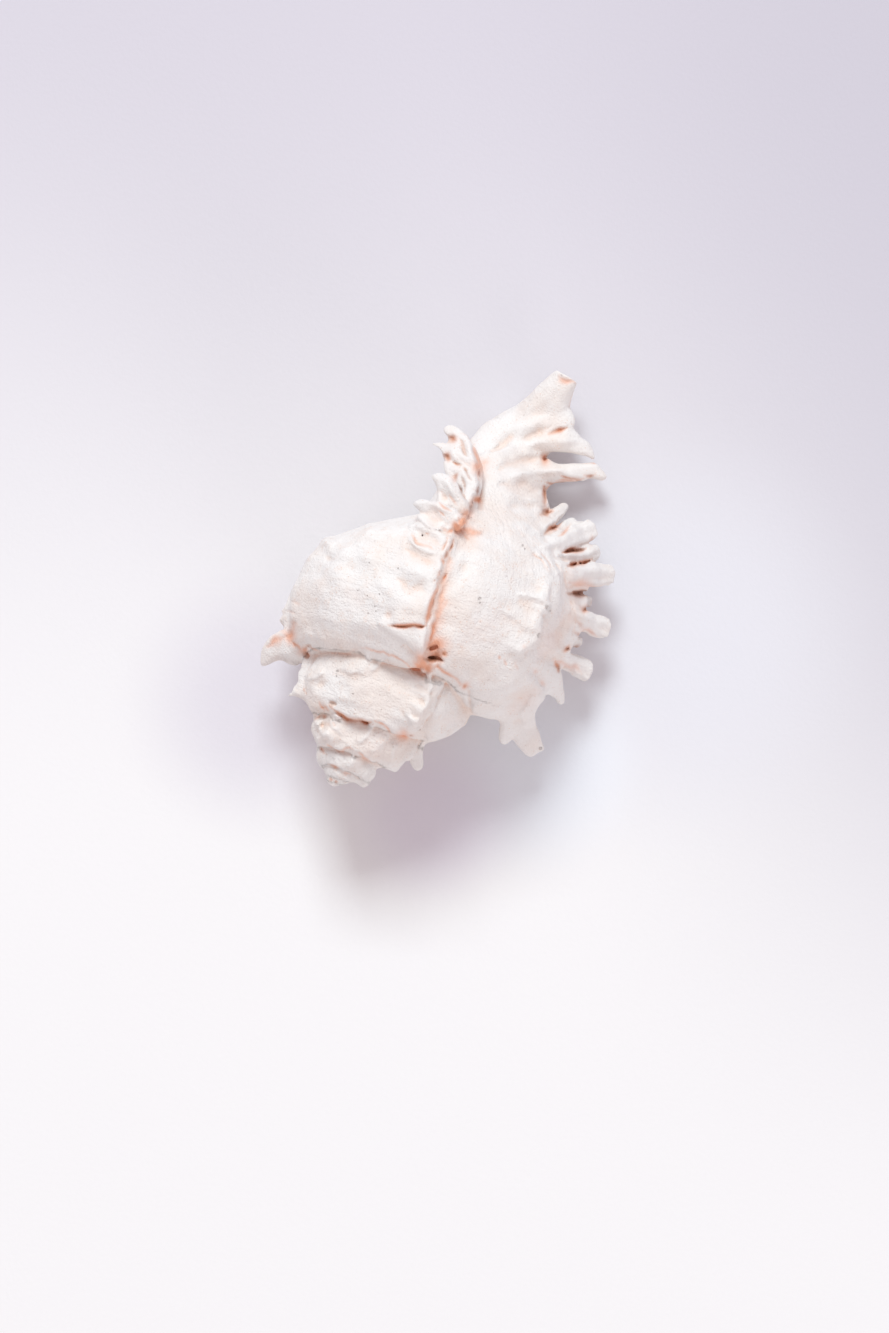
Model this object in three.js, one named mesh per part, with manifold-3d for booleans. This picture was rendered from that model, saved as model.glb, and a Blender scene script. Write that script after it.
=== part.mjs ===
// A murex shell that lies on its mouth, with the back of the last whorl up.
// Millimetres, +Z up. +Y runs from the tip of the spire to the end of the canal.
// The origin is on the surface it rests on, under the middle of its length and width.

import * as THREE from 'three';
import { LoftGeometry } from 'three/addons/geometries/LoftGeometry.js';
import { mergeVertices } from 'three/addons/utils/BufferGeometryUtils.js';
import Module from 'manifold-3d';

const wasm = await Module();
wasm.setup();

const DEGREE = Math.PI / 180;

// Where the spire's tip is before the shell is moved to its origin, and how the coil's axis lies

const APEX = new THREE.Vector3(0.3, -0.3, 29.5);
const AXIS_LEAN = 5.5 * DEGREE;
const AXIS_TILT = 7 * DEGREE;
const MIDDLE_OF_WIDTH = 4.45;
const MIDDLE_OF_LENGTH = 52.5;

// The coil: turn 0 is at the lip, on the right, and earlier turns are negative

const LIP_RADIUS = 33;
const RADIUS_GROWTH = 1.63;
const LIP_DROP = 34;
const DROP_GROWTH = 1.95;
const FIRST_TURN = -6.1;
const LAST_TURN = 0.095;
const LIP_CLIMB = 6;

// The outline of one whorl, from the suture to the base, as shares of the widest radius: [radius, drop]

const WHORL_OUTLINE = [
  [0.5, 0.04],
  [0.62, -0.01],
  [0.76, 0.01],
  [0.87, 0.1],
  [0.945, 0.22],
  [0.985, 0.34],
  [1.02, 0.43],
  [0.995, 0.52],
  [1.0, 0.62],
  [1.0, 0.7],
  [0.955, 0.77],
  [0.93, 0.87],
  [0.895, 0.94],
  [0.81, 1.0],
  [0.7, 1.11],
  [0.56, 1.22],
  [0.4, 1.32],
  [0.2, 1.42],
];
const CORE_SHARE = 0.03;
const PIECE_TURNS = 0.85;
const TUCK_TURNS = 0.02;
const TUCK_SHARE = 0.85;

// Growth marks: varices and ribs, each a rise before its crest and a fall after it, in turns

const GROWTH_MARKS = [
  { turn: 0.02, height: 0.08, rise: 0.05, fall: 0.05 },
  { turn: -0.083, height: 0.035, rise: 0.05, fall: 0.03 },
  { turn: -0.243, height: 0.075, rise: 0.09, fall: 0.016 },
  { turn: -0.36, height: 0.02, rise: 0.04, fall: 0.04 },
  { turn: -0.45, height: 0.03, rise: 0.04, fall: 0.04 },
  { turn: -0.545, height: 0.09, rise: 0.06, fall: 0.03 },
  { turn: -0.66, height: 0.03, rise: 0.04, fall: 0.04 },
  { turn: -0.79, height: 0.06, rise: 0.06, fall: 0.03 },
  { turn: -0.944, height: 0.08, rise: 0.06, fall: 0.03 },
  { turn: -1.147, height: 0.1, rise: 0.07, fall: 0.018 },
  { turn: -1.297, height: 0.04, rise: 0.05, fall: 0.05 },
  { turn: -1.486, height: 0.12, rise: 0.06, fall: 0.03 },
  { turn: -1.66, height: 0.08, rise: 0.06, fall: 0.04 },
  { turn: -1.83, height: 0.09, rise: 0.06, fall: 0.04 },
  { turn: -2.0, height: 0.1, rise: 0.07, fall: 0.03 },
  { turn: -2.17, height: 0.09, rise: 0.07, fall: 0.03 },
  { turn: -2.33, height: 0.1, rise: 0.07, fall: 0.04 },
  { turn: -2.47, height: 0.12, rise: 0.07, fall: 0.04 },
  { turn: -2.7, height: 0.1, rise: 0.08, fall: 0.05 },
  { turn: -2.98, height: 0.13, rise: 0.09, fall: 0.04 },
  { turn: -3.2, height: 0.1, rise: 0.08, fall: 0.05 },
  { turn: -3.5, height: 0.1, rise: 0.08, fall: 0.05 },
];

// Crests that stand on the strongest varices: how far each runs down the whorl, and its half sizes

const CRESTS = [
  { turn: 0.016, from: 0.22, to: 1.26, height: 2.6, thick: 2.6, back: -0.01 },
  { turn: -0.25, from: 0.12, to: 1.28, height: 3, thick: 2.3, back: 0.014 },
  { turn: -0.552, from: 0.1, to: 0.95, height: 2.2, thick: 2, back: 0.01 },
  { turn: -0.79, from: 0.2, to: 1.0, height: 1.4, thick: 1.8, back: 0.01 },
  { turn: -1.15, from: 0.06, to: 0.72, height: 1.4, thick: 1.5, back: 0.012 },
];

// The canal of the middle varix, left standing when the shell grew on: its sections to its frilled end

const OLD_CANAL = [
  { at: [-2.5, 60, 38], width: 3, height: 3.4 },
  { at: [-4.5, 68, 34], width: 4.4, height: 4 },
  { at: [-8, 75, 29.5], width: 5.6, height: 3.8 },
  { at: [-12, 80.5, 26], width: 5.4, height: 3 },
  { at: [-13.6, 82.6, 24.6], width: 4, height: 2 },
];

// The neck and canal: height and half sizes of its cross-sections, from the whorl's base to the open tip

const CANAL_SECTIONS = [
  { at: [-3, 37, 15], width: 7, height: 9 },
  { at: [-3, 46, 15], width: 8, height: 10.5 },
  { at: [-2, 55, 16.5], width: 9.5, height: 12 },
  { at: [0, 63, 18], width: 12.5, height: 13.5 },
  { at: [0.8, 70, 16.5], width: 12.8, height: 12.5 },
  { at: [0, 76, 13.5], width: 11.2, height: 10 },
  { at: [-1.6, 82, 9.5], width: 9.6, height: 7.6 },
  { at: [-2.2, 88, 6], width: 7.4, height: 6.6 },
  { at: [-0.6, 94, 5.6], width: 5.5, height: 5.4 },
  { at: [0, 99, 8.4], width: 4.1, height: 4.2 },
  { at: [0.5, 103, 10.8], width: 3.1, height: 3.2 },
  { at: [0.7, 105, 12], width: 2.7, height: 2.8 },
];

// The mouth: an oval rim that leans down to the right, and the hollow that winds up into the last whorl

const MOUTH_CENTRE = new THREE.Vector3(12.2, 50.5, 5.4);
const MOUTH_LEAN = 13 * DEGREE;
const MOUTH_TURN = 6 * DEGREE;
const MOUTH_HALF_WIDTH = 11.6;
const MOUTH_HALF_LENGTH = 16.6;
const RIM_THICKNESS = 5.2;
const LIP_WALL = 4.4;
const HOLLOW_STEPS = [
  { turn: 0.02, radius: 0.6, drop: 0.6, across: 0.3, along: 0.46 },
  { turn: -0.08, radius: 0.61, drop: 0.6, across: 0.27, along: 0.4 },
  { turn: -0.18, radius: 0.63, drop: 0.6, across: 0.23, along: 0.33 },
  { turn: -0.28, radius: 0.66, drop: 0.6, across: 0.18, along: 0.24 },
  { turn: -0.36, radius: 0.68, drop: 0.6, across: 0.1, along: 0.13 },
];

// The canal's slit, open to below: the height of its roof along the canal

const SLIT_WIDTH = 2;
const SLIT_ROOF = [
  [6, 62, 12],
  [2.5, 70, 9],
  [-0.5, 78, 7.5],
  [-2, 84, 6.5],
  [-2.2, 89, 5.2],
  [-0.6, 95, 5.4],
  [0, 99.5, 8],
  [0.6, 103.5, 10.6],
  [0.9, 107, 12.6],
];

// Fronds of the lip, from the shoulder to the canal

const LIP_FRONDS = [
  { base: [26, 36.5, 20], tip: [36.2, 28.6, 11.5], width: 8.5, tipWidth: 3.2, thick: 6 },
  { base: [25, 34.5, 20], tip: [28.2, 26.9, 14], width: 5, tipWidth: 1.8, thick: 4 },
  { base: [28, 43.5, 17], tip: [35.6, 41.3, 10.5], width: 7.5, tipWidth: 1.6, thick: 5 },
  { base: [28, 50, 17], tip: [38.5, 50.5, 10.5], width: 5.6, tipWidth: 3.8, thick: 4.5 },
  { base: [28, 54.5, 16], tip: [33.3, 55.2, 12], width: 3, tipWidth: 1.6, thick: 3 },
  { base: [26, 58.6, 16], tip: [36.6, 61.2, 10], width: 5.8, tipWidth: 4.3, thick: 4.5 },
  { base: [25, 62, 16], tip: [30.5, 65.1, 11], width: 2.6, tipWidth: 1.6, thick: 3 },
  { base: [20.5, 65, 16], tip: [32, 72.4, 10], width: 5, tipWidth: 4, thick: 4.5 },
  { base: [18, 67, 16], tip: [26.4, 75, 11], width: 2.6, tipWidth: 1.8, thick: 3.2 },
  { base: [14.5, 68, 16], tip: [23.5, 79.4, 10], width: 4.8, tipWidth: 3.8, thick: 4.5 },
  { base: [13, 70, 15], tip: [17.4, 79, 10], width: 2.2, tipWidth: 1.3, thick: 3 },
  { base: [9.5, 70, 15], tip: [14.9, 81.2, 10], width: 2.6, tipWidth: 1.6, thick: 3.2 },
  { base: [2, 79, 9.5], tip: [18.2, 90.4, 7], width: 6.5, tipWidth: 2.4, thick: 5 },
  { base: [0.5, 91.6, 7.5], tip: [14.6, 93, 7], width: 5.4, tipWidth: 2, thick: 4.4 },
  { base: [1, 95.4, 8], tip: [6.4, 97.8, 8], width: 4.6, tipWidth: 1.8, thick: 3.6 },
];

// Fronds of the middle varix, which curl back over the whorl to the left, and its old canal

const MIDDLE_FRONDS = [
  { base: [2, 41, 52.5], tip: [-8.4, 36.2, 54.4], width: 7, tipWidth: 1.4, thick: 4.4 },
  { base: [-3, 56.5, 49.5], tip: [-12.9, 58.4, 48.5], width: 6, tipWidth: 2.6, thick: 4.4 },
  { base: [-3.5, 63.5, 44.5], tip: [-15.3, 63.2, 42], width: 7.4, tipWidth: 1.2, thick: 5 },
  { base: [-4, 67.5, 38], tip: [-15.4, 71, 35], width: 5.6, tipWidth: 1.2, thick: 4.5 },
  { base: [-4.5, 70.5, 34], tip: [-14.5, 74.6, 31], width: 5.4, tipWidth: 2, thick: 4.5 },
  { base: [-5, 72.5, 31], tip: [-18.2, 77.6, 28], width: 6.4, tipWidth: 2, thick: 5 },
  { base: [-4, 71, 29], tip: [-14.2, 81.8, 25.5], width: 9, tipWidth: 6, thick: 7 },
];

// Spines of the older varices, those underneath that the shell stands on, and knobs of the spire

const OLDER_SPINES = [
  { base: [-20, 27, 25], tip: [-27.4, 15.6, 20], width: 10, tipWidth: 2, thick: 7, bend: [-4, 1, 0] },
  { base: [-23, 33, 22], tip: [-29, 28.5, 17], width: 8, tipWidth: 4, thick: 6 },
  { base: [-11.5, 18, 27], tip: [-18.8, 12.1, 25], width: 6, tipWidth: 1.2, thick: 5 },
  { base: [10.5, 20, 25], tip: [15.2, 12.5, 21], width: 5.4, tipWidth: 2, thick: 5, bend: [-1.2, -0.8, 0] },
  { base: [-17, 33, 14], tip: [-25, 30, -2], width: 7, tipWidth: 4.5, thick: 7 },
  { base: [-18, 44, 14], tip: [-25, 45, -2], width: 6, tipWidth: 4.5, thick: 6 },
  { base: [-8, 52, 22], tip: [-18, 56, 7], width: 7, tipWidth: 2.5, thick: 7 },
  { base: [-7, 8, 28], tip: [-9.9, 9.6, 27], width: 3.6, tipWidth: 1.8, thick: 4 },
  { base: [7.5, 11, 28], tip: [10.6, 9.6, 27], width: 3.8, tipWidth: 1.8, thick: 4 },
  { base: [3.5, 5.5, 29], tip: [6.5, 3.6, 28.5], width: 3.2, tipWidth: 1.6, thick: 3.5 },
];

const SHELL_COLOUR = 0xf4ece4;
const FROND_SIDES = 6;
const CANAL_SIDES = 16;

const alongAxis = new THREE.Vector3(
  -Math.sin(AXIS_LEAN) * Math.cos(AXIS_TILT),
  Math.cos(AXIS_LEAN) * Math.cos(AXIS_TILT),
  -Math.sin(AXIS_TILT),
);
const toTheLeft = new THREE.Vector3(-Math.cos(AXIS_LEAN), -Math.sin(AXIS_LEAN), 0);
const upwards = new THREE.Vector3().crossVectors(alongAxis, toTheLeft);

function smooth(x) {
  const t = Math.min(1, Math.max(0, x));
  return t * t * (3 - 2 * t);
}

// Whether the points of each section turn anticlockwise when seen from the far end of the row

function turnsForward(sections) {
  const [first, second] = sections;
  const normal = new THREE.Vector3();
  const step = new THREE.Vector3();
  first.forEach((p, i) => {
    const q = first[(i + 1) % first.length];
    normal.x += (p.y - q.y) * (p.z + q.z);
    normal.y += (p.z - q.z) * (p.x + q.x);
    normal.z += (p.x - q.x) * (p.y + q.y);
    step.add(second[i]).sub(p);
  });
  return normal.dot(step) > 0;
}

function solidOf(geometry) {
  const bare = new THREE.BufferGeometry();
  bare.setAttribute('position', geometry.getAttribute('position'));
  bare.setIndex(geometry.getIndex());
  const merged = mergeVertices(bare, 1e-4);
  return new wasm.Manifold(new wasm.Mesh({
    numProp: 3,
    vertProperties: merged.getAttribute('position').array,
    triVerts: new Uint32Array(merged.getIndex().array),
  }));
}

// A closed solid through a row of sections, whichever way round their points run

function loft(sections) {
  const ordered = turnsForward(sections)
    ? sections
    : sections.map((section) => [...section].reverse());
  return solidOf(new LoftGeometry(ordered, { capStart: true, capEnd: true }));
}

function joined(solids) {
  return solids.reduce((whole, next) => whole.add(next));
}

// The coil's own directions and sizes at a turn

function radiusAt(turn) {
  return LIP_RADIUS * RADIUS_GROWTH ** turn;
}

function dropAt(turn) {
  return LIP_DROP * DROP_GROWTH ** turn;
}

function outwardAt(turn) {
  const angle = Math.PI + turn * 2 * Math.PI;
  return toTheLeft.clone().multiplyScalar(Math.cos(angle)).addScaledVector(upwards, Math.sin(angle));
}

function coilPoint(turn, radius, drop) {
  return APEX.clone().addScaledVector(alongAxis, drop).addScaledVector(outwardAt(turn), radius);
}

function markHeight(turn) {
  let height = 0;
  for (const mark of GROWTH_MARKS) {
    const away = turn - mark.turn;
    const share = away < 0 ? 1 + away / mark.rise : 1 - away / mark.fall;
    height = Math.max(height, mark.height * smooth(share));
  }
  return height;
}

function whorlSection(turn) {
  const size = radiusAt(turn);
  const top = dropAt(turn);
  const climb = LIP_CLIMB * smooth((turn + 0.16) / 0.16);
  const section = WHORL_OUTLINE.map(([radius, drop]) => {
    const across = smooth(drop / 0.2) * smooth((1.35 - drop) / 0.5);
    const swollen = radius + markHeight(turn) * across;
    const climbed = top + drop * size - climb * smooth((1 - drop) / 1);
    return coilPoint(turn, swollen * size, climbed);
  });
  const last = WHORL_OUTLINE[WHORL_OUTLINE.length - 1][1];
  section.push(coilPoint(turn, CORE_SHARE * size, top + last * size));
  section.push(coilPoint(turn, CORE_SHARE * size, top + 0.06 * size));
  return section;
}

// The turns at which a section is taken: closer on the later whorls and around each crest

function sectionTurns() {
  const turns = [];
  for (let turn = FIRST_TURN; turn < LAST_TURN - 1e-6;) {
    turns.push(turn);
    turn += turn > -1.1 ? 1 / 40 : turn > -2.2 ? 1 / 30 : turn > -3.3 ? 1 / 20 : 1 / 12;
  }
  turns.push(LAST_TURN);
  for (const mark of GROWTH_MARKS) {
    if (mark.turn > -2.2) {
      turns.push(mark.turn, mark.turn + mark.fall);
    }
  }
  turns.sort((a, b) => a - b);
  return turns.filter((turn, i) => i === 0 || turn - turns[i - 1] > 0.007);
}

// A section drawn in towards its middle, so that it lies inside the shell where two pieces meet

function tucked(turn) {
  const section = whorlSection(turn);
  const middle = section.reduce((sum, p) => sum.add(p), new THREE.Vector3()).divideScalar(section.length);
  return section.map((p) => p.lerp(middle, 1 - TUCK_SHARE));
}

// The whorls in pieces of less than a turn, each tucked into the next, so that no piece meets itself

function coil() {
  const turns = sectionTurns();
  const pieces = [axisCore()];
  let start = 0;
  while (start < turns.length - 1) {
    let end = start + 1;
    while (end < turns.length - 1 && turns[end] - turns[start] < PIECE_TURNS) {
      end += 1;
    }
    const sections = turns.slice(start, end + 1).map(whorlSection);
    if (start > 0) {
      sections.unshift(tucked(turns[start] - TUCK_TURNS));
    }
    if (end < turns.length - 1) {
      sections.push(tucked(turns[end] + TUCK_TURNS));
    }
    pieces.push(loft(sections));
    start = end;
  }
  return joined(pieces);
}

// Solid shell around the axis, where the whorls' inner edges meet

function axisCore() {
  const steps = [[0.4, 0.3], [10, 1], [35, 2.5], [60, 3.5]];
  return loft(steps.map(([drop, radius]) => {
    const section = [];
    for (let i = 0; i < 8; i += 1) {
      section.push(coilPoint(i / 8, radius, drop));
    }
    return section;
  }));
}

// An oval section around a centre, from two half axes given as vectors

function oval(centre, halfA, halfB, sides) {
  const section = [];
  for (let i = 0; i < sides; i += 1) {
    const angle = (i / sides) * 2 * Math.PI;
    section.push(centre.clone()
      .addScaledVector(halfA, Math.cos(angle))
      .addScaledVector(halfB, Math.sin(angle)));
  }
  return section;
}

function canal() {
  return loft(CANAL_SECTIONS.map(({ at, width, height }) => oval(
    new THREE.Vector3(...at),
    new THREE.Vector3(width, 0, 0),
    new THREE.Vector3(0, 0, height),
    CANAL_SIDES,
  )));
}

function oldCanal() {
  const across = new THREE.Vector3(0.8, 0.6, 0);
  return loft(OLD_CANAL.map(({ at, width, height }) => oval(
    new THREE.Vector3(...at),
    across.clone().multiplyScalar(width),
    new THREE.Vector3(0, 0, height),
    8,
  )));
}

// The outline's radius at a drop, both as shares of the widest radius

function outlineRadius(drop) {
  const below = WHORL_OUTLINE.findIndex((point, i) => i > 2 && point[1] >= drop);
  const [radiusA, dropA] = WHORL_OUTLINE[below - 1];
  const [radiusB, dropB] = WHORL_OUTLINE[below];
  return THREE.MathUtils.mapLinear(drop, dropA, dropB, radiusA, radiusB);
}

// A crest along a varix, leaning back towards the older shell

function crest({ turn, from, to, height, thick, back }) {
  const size = radiusAt(turn);
  const steps = 9;
  const sections = [];
  for (let i = 0; i <= steps; i += 1) {
    const share = i / steps;
    const drop = THREE.MathUtils.lerp(from, to, share);
    const radius = outlineRadius(drop) + markHeight(turn) * 0.5;
    const ends = 0.45 + 0.55 * Math.sin(Math.PI * share);
    const centre = coilPoint(turn, radius * size, dropAt(turn) + drop * size);
    const behind = coilPoint(turn - back, radius * size, dropAt(turn) + drop * size).sub(centre);
    const up = outwardAt(turn).multiplyScalar(height * ends).add(behind);
    const across = new THREE.Vector3().crossVectors(up, alongAxis).setLength(thick * ends);
    sections.push(oval(centre, up, across, 6));
  }
  return loft(sections);
}

// One frond: a flattened horn from the varix to its blunt tip

function frond({ base, tip, width, tipWidth, thick, bend = [0, 0, 0] }) {
  const start = new THREE.Vector3(...base);
  const end = new THREE.Vector3(...tip);
  const middle = start.clone().lerp(end, 0.5).add(new THREE.Vector3(...bend));
  const path = new THREE.QuadraticBezierCurve3(start, middle, end);
  const sections = [];
  for (const share of [0, 0.4, 0.75, 1]) {
    const along = path.getTangent(share);
    const side = new THREE.Vector3().crossVectors(along, new THREE.Vector3(0, 0, 1)).normalize();
    const over = new THREE.Vector3().crossVectors(side, along);
    const halfWidth = 0.5 * THREE.MathUtils.lerp(width, tipWidth, Math.sqrt(share));
    const halfThick = 0.5 * THREE.MathUtils.lerp(thick, Math.min(thick, tipWidth) * 0.7, share);
    sections.push(oval(
      path.getPoint(share),
      side.multiplyScalar(halfWidth),
      over.multiplyScalar(halfThick),
      FROND_SIDES,
    ));
  }
  return loft(sections);
}

// The mouth's own directions: across it, along it, and out of it towards the surface below

const mouthAlong = new THREE.Vector3(-Math.sin(MOUTH_TURN), Math.cos(MOUTH_TURN), 0);
const mouthAcross = new THREE.Vector3(
  Math.cos(MOUTH_TURN) * Math.cos(MOUTH_LEAN),
  Math.sin(MOUTH_TURN) * Math.cos(MOUTH_LEAN),
  -Math.sin(MOUTH_LEAN),
);
const mouthOut = new THREE.Vector3().crossVectors(mouthAlong, mouthAcross);

function rim() {
  const steps = 28;
  const section = RIM_THICKNESS / 2;
  const rings = [];
  for (let i = 0; i < steps; i += 1) {
    const angle = (i / steps) * 2 * Math.PI;
    const outward = mouthAcross.clone().multiplyScalar(Math.cos(angle) * (MOUTH_HALF_WIDTH + section))
      .addScaledVector(mouthAlong, Math.sin(angle) * (MOUTH_HALF_LENGTH + section));
    const centre = MOUTH_CENTRE.clone().add(outward);
    const radial = outward.normalize().multiplyScalar(section);
    rings.push(oval(centre, radial, mouthOut.clone().multiplyScalar(section * 1.1), 7));
  }
  const half = steps / 2;
  return loft(rings.slice(0, half + 1)).add(loft([...rings.slice(half), rings[0]]));
}

// The lip's wall: a sleeve around the hollow, from the whorl down to the rim

function lip() {
  const [first, second] = HOLLOW_STEPS;
  const across = mouthAcross.clone().multiplyScalar(MOUTH_HALF_WIDTH + LIP_WALL);
  const along = mouthAlong.clone().multiplyScalar(MOUTH_HALF_LENGTH + LIP_WALL);
  const sections = [oval(MOUTH_CENTRE.clone(), across, along, 20)];
  for (const step of [first, second]) {
    const size = radiusAt(step.turn);
    const centre = coilPoint(step.turn, step.radius * size, dropAt(step.turn) + step.drop * size);
    const outward = outwardAt(step.turn).multiplyScalar(step.across * size + LIP_WALL * 0.6);
    const downward = alongAxis.clone().multiplyScalar(step.along * size + LIP_WALL * 0.6);
    sections.push(oval(centre, outward, downward, 20));
  }
  return loft(sections);
}

function hollow() {
  const across = mouthAcross.clone().multiplyScalar(MOUTH_HALF_WIDTH);
  const along = mouthAlong.clone().multiplyScalar(MOUTH_HALF_LENGTH);
  const below = MOUTH_CENTRE.clone().addScaledVector(mouthOut, 9);
  const inside = MOUTH_CENTRE.clone().addScaledVector(mouthOut, -3);
  const sections = [
    oval(below, across.clone().multiplyScalar(1.12), along.clone().multiplyScalar(1.08), 20),
    oval(inside, across, along, 20),
  ];
  for (const step of HOLLOW_STEPS) {
    const size = radiusAt(step.turn);
    const centre = coilPoint(step.turn, step.radius * size, dropAt(step.turn) + step.drop * size);
    const outward = outwardAt(step.turn).multiplyScalar(step.across * size);
    sections.push(oval(centre, outward, alongAxis.clone().multiplyScalar(step.along * size), 20));
  }
  return loft(sections);
}

function slit() {
  const half = SLIT_WIDTH / 2;
  return loft(SLIT_ROOF.map(([x, y, z]) => [
    new THREE.Vector3(x - half, y, -5),
    new THREE.Vector3(x + half, y, -5),
    new THREE.Vector3(x + half, y, z),
    new THREE.Vector3(x - half, y, z),
  ]));
}

// Everything that grew, less the hollows, and worn flat where it touches the surface below

function shellSolid() {
  const fronds = [...LIP_FRONDS, ...MIDDLE_FRONDS, ...OLDER_SPINES].map(frond);
  const crests = CRESTS.map(crest);
  const grown = joined([coil(), canal(), oldCanal(), lip(), rim(), ...crests, ...fronds]);
  const above = new THREE.BoxGeometry(200, 300, 100);
  above.translate(0, 50, 50);
  const cut = grown.subtract(hollow()).subtract(slit()).intersect(solidOf(above));
  return biggestOf(cut.decompose());
}

// The shell itself, without the specks that are left inside it where pieces meet

function biggestOf(bodies) {
  return bodies.reduce((most, body) => (body.volume() > most.volume() ? body : most));
}

function meshGeometry(solid) {
  const mesh = solid.getMesh();
  const geometry = new THREE.BufferGeometry();
  geometry.setAttribute('position', new THREE.BufferAttribute(mesh.vertProperties, 3));
  geometry.setIndex(new THREE.BufferAttribute(mesh.triVerts, 1));
  geometry.translate(-MIDDLE_OF_WIDTH, -MIDDLE_OF_LENGTH, 0);
  geometry.computeVertexNormals();
  return geometry;
}

const shell = new THREE.Mesh(
  meshGeometry(shellSolid()),
  new THREE.MeshStandardMaterial({ color: SHELL_COLOUR, roughness: 0.7, metalness: 0 }),
);
shell.name = 'shell';

const murex = new THREE.Group();
murex.add(shell);

export default murex;
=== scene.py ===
# %% [markdown]
# # A murex shell on pale paper
#
# The object is one sun-bleached sea shell that lies on its mouth. A snail builds such a shell by adding
# to its rim, so nearly every form on it follows from one rule: a tube that winds round an axis and grows
# with each turn. This lesson writes that rule once, as Geometry Nodes, and adds what the rule can't give.
#
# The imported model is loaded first. It is the fixed frame: its box is the size that the shell may have.

# %% The frame
import math

import bpy
import numpy as np
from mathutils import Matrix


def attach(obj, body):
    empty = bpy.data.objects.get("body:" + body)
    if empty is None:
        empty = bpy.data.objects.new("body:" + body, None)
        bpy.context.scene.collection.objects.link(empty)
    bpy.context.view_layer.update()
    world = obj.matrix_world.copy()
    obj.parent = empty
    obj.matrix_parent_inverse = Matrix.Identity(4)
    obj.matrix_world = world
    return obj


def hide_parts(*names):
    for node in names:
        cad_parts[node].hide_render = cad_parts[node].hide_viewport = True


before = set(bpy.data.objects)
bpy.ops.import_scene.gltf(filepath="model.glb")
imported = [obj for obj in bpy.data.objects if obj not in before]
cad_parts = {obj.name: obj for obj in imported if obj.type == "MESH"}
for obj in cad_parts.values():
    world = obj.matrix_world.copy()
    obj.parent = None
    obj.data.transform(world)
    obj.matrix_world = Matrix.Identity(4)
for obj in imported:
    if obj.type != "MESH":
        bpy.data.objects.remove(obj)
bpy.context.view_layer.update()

import openvdb
from mathutils import Vector

# %% [markdown]
# ## The camera
#
# The shell was seen from straight above, with the picture turned a little against the shell's length.
# A camera that looks down needs no aiming: it is turned about the vertical alone. A long lens from far
# away keeps the sides of the shell almost upright in the picture.

# %% Camera
MM = 0.001
PICTURE_TURN = math.radians(29.5)
PICTURE_CENTRE = (4.15, -17.3, 25.0)
PICTURE_HEIGHT = 297.0
LENS = 250.0
FILM = 36.0

camera_data = bpy.data.cameras.new("camera")
camera_data.lens = LENS
camera_data.sensor_width = FILM
camera = bpy.data.objects.new("camera", camera_data)
bpy.context.collection.objects.link(camera)
camera_height = PICTURE_HEIGHT * LENS / FILM
camera.location = (PICTURE_CENTRE[0] * MM, PICTURE_CENTRE[1] * MM, (PICTURE_CENTRE[2] + camera_height) * MM)
camera.rotation_euler = (0, 0, PICTURE_TURN)
bpy.context.scene.camera = camera
picture_right = Vector((math.cos(PICTURE_TURN), math.sin(PICTURE_TURN), 0))
picture_up = Vector((-math.sin(PICTURE_TURN), math.cos(PICTURE_TURN), 0))
print("camera", round(camera.location.z, 3), "m above the paper")

# %% [markdown]
# ## Arithmetic on sockets
#
# Node trees are easier to read as formulas. The class below wraps a socket, so that `1 - mask` or
# `height * 0.5` adds the Math node that it stands for. Vectors go through Vector Math. Every other node
# comes from one method, `node`, which takes the node's type, its settings and what goes into its sockets.

# %% Sockets as numbers
class Wire:
    def __init__(self, bench, socket):
        self.bench, self.socket = bench, socket

    def __add__(self, other): return self.bench.join("ADD", self, other)
    def __radd__(self, other): return self.bench.join("ADD", other, self)
    def __sub__(self, other): return self.bench.join("SUBTRACT", self, other)
    def __rsub__(self, other): return self.bench.join("SUBTRACT", other, self)
    def __mul__(self, other): return self.bench.join("MULTIPLY", self, other)
    def __rmul__(self, other): return self.bench.join("MULTIPLY", other, self)
    def __truediv__(self, other): return self.bench.join("DIVIDE", self, other)
    def __rtruediv__(self, other): return self.bench.join("DIVIDE", other, self)
    def __pow__(self, other): return self.bench.join("POWER", self, other)
    def __rpow__(self, other): return self.bench.join("POWER", other, self)


def is_vector(value):
    if isinstance(value, Wire):
        return value.socket.type in ("VECTOR", "RGBA")
    return not isinstance(value, (int, float))


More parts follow.
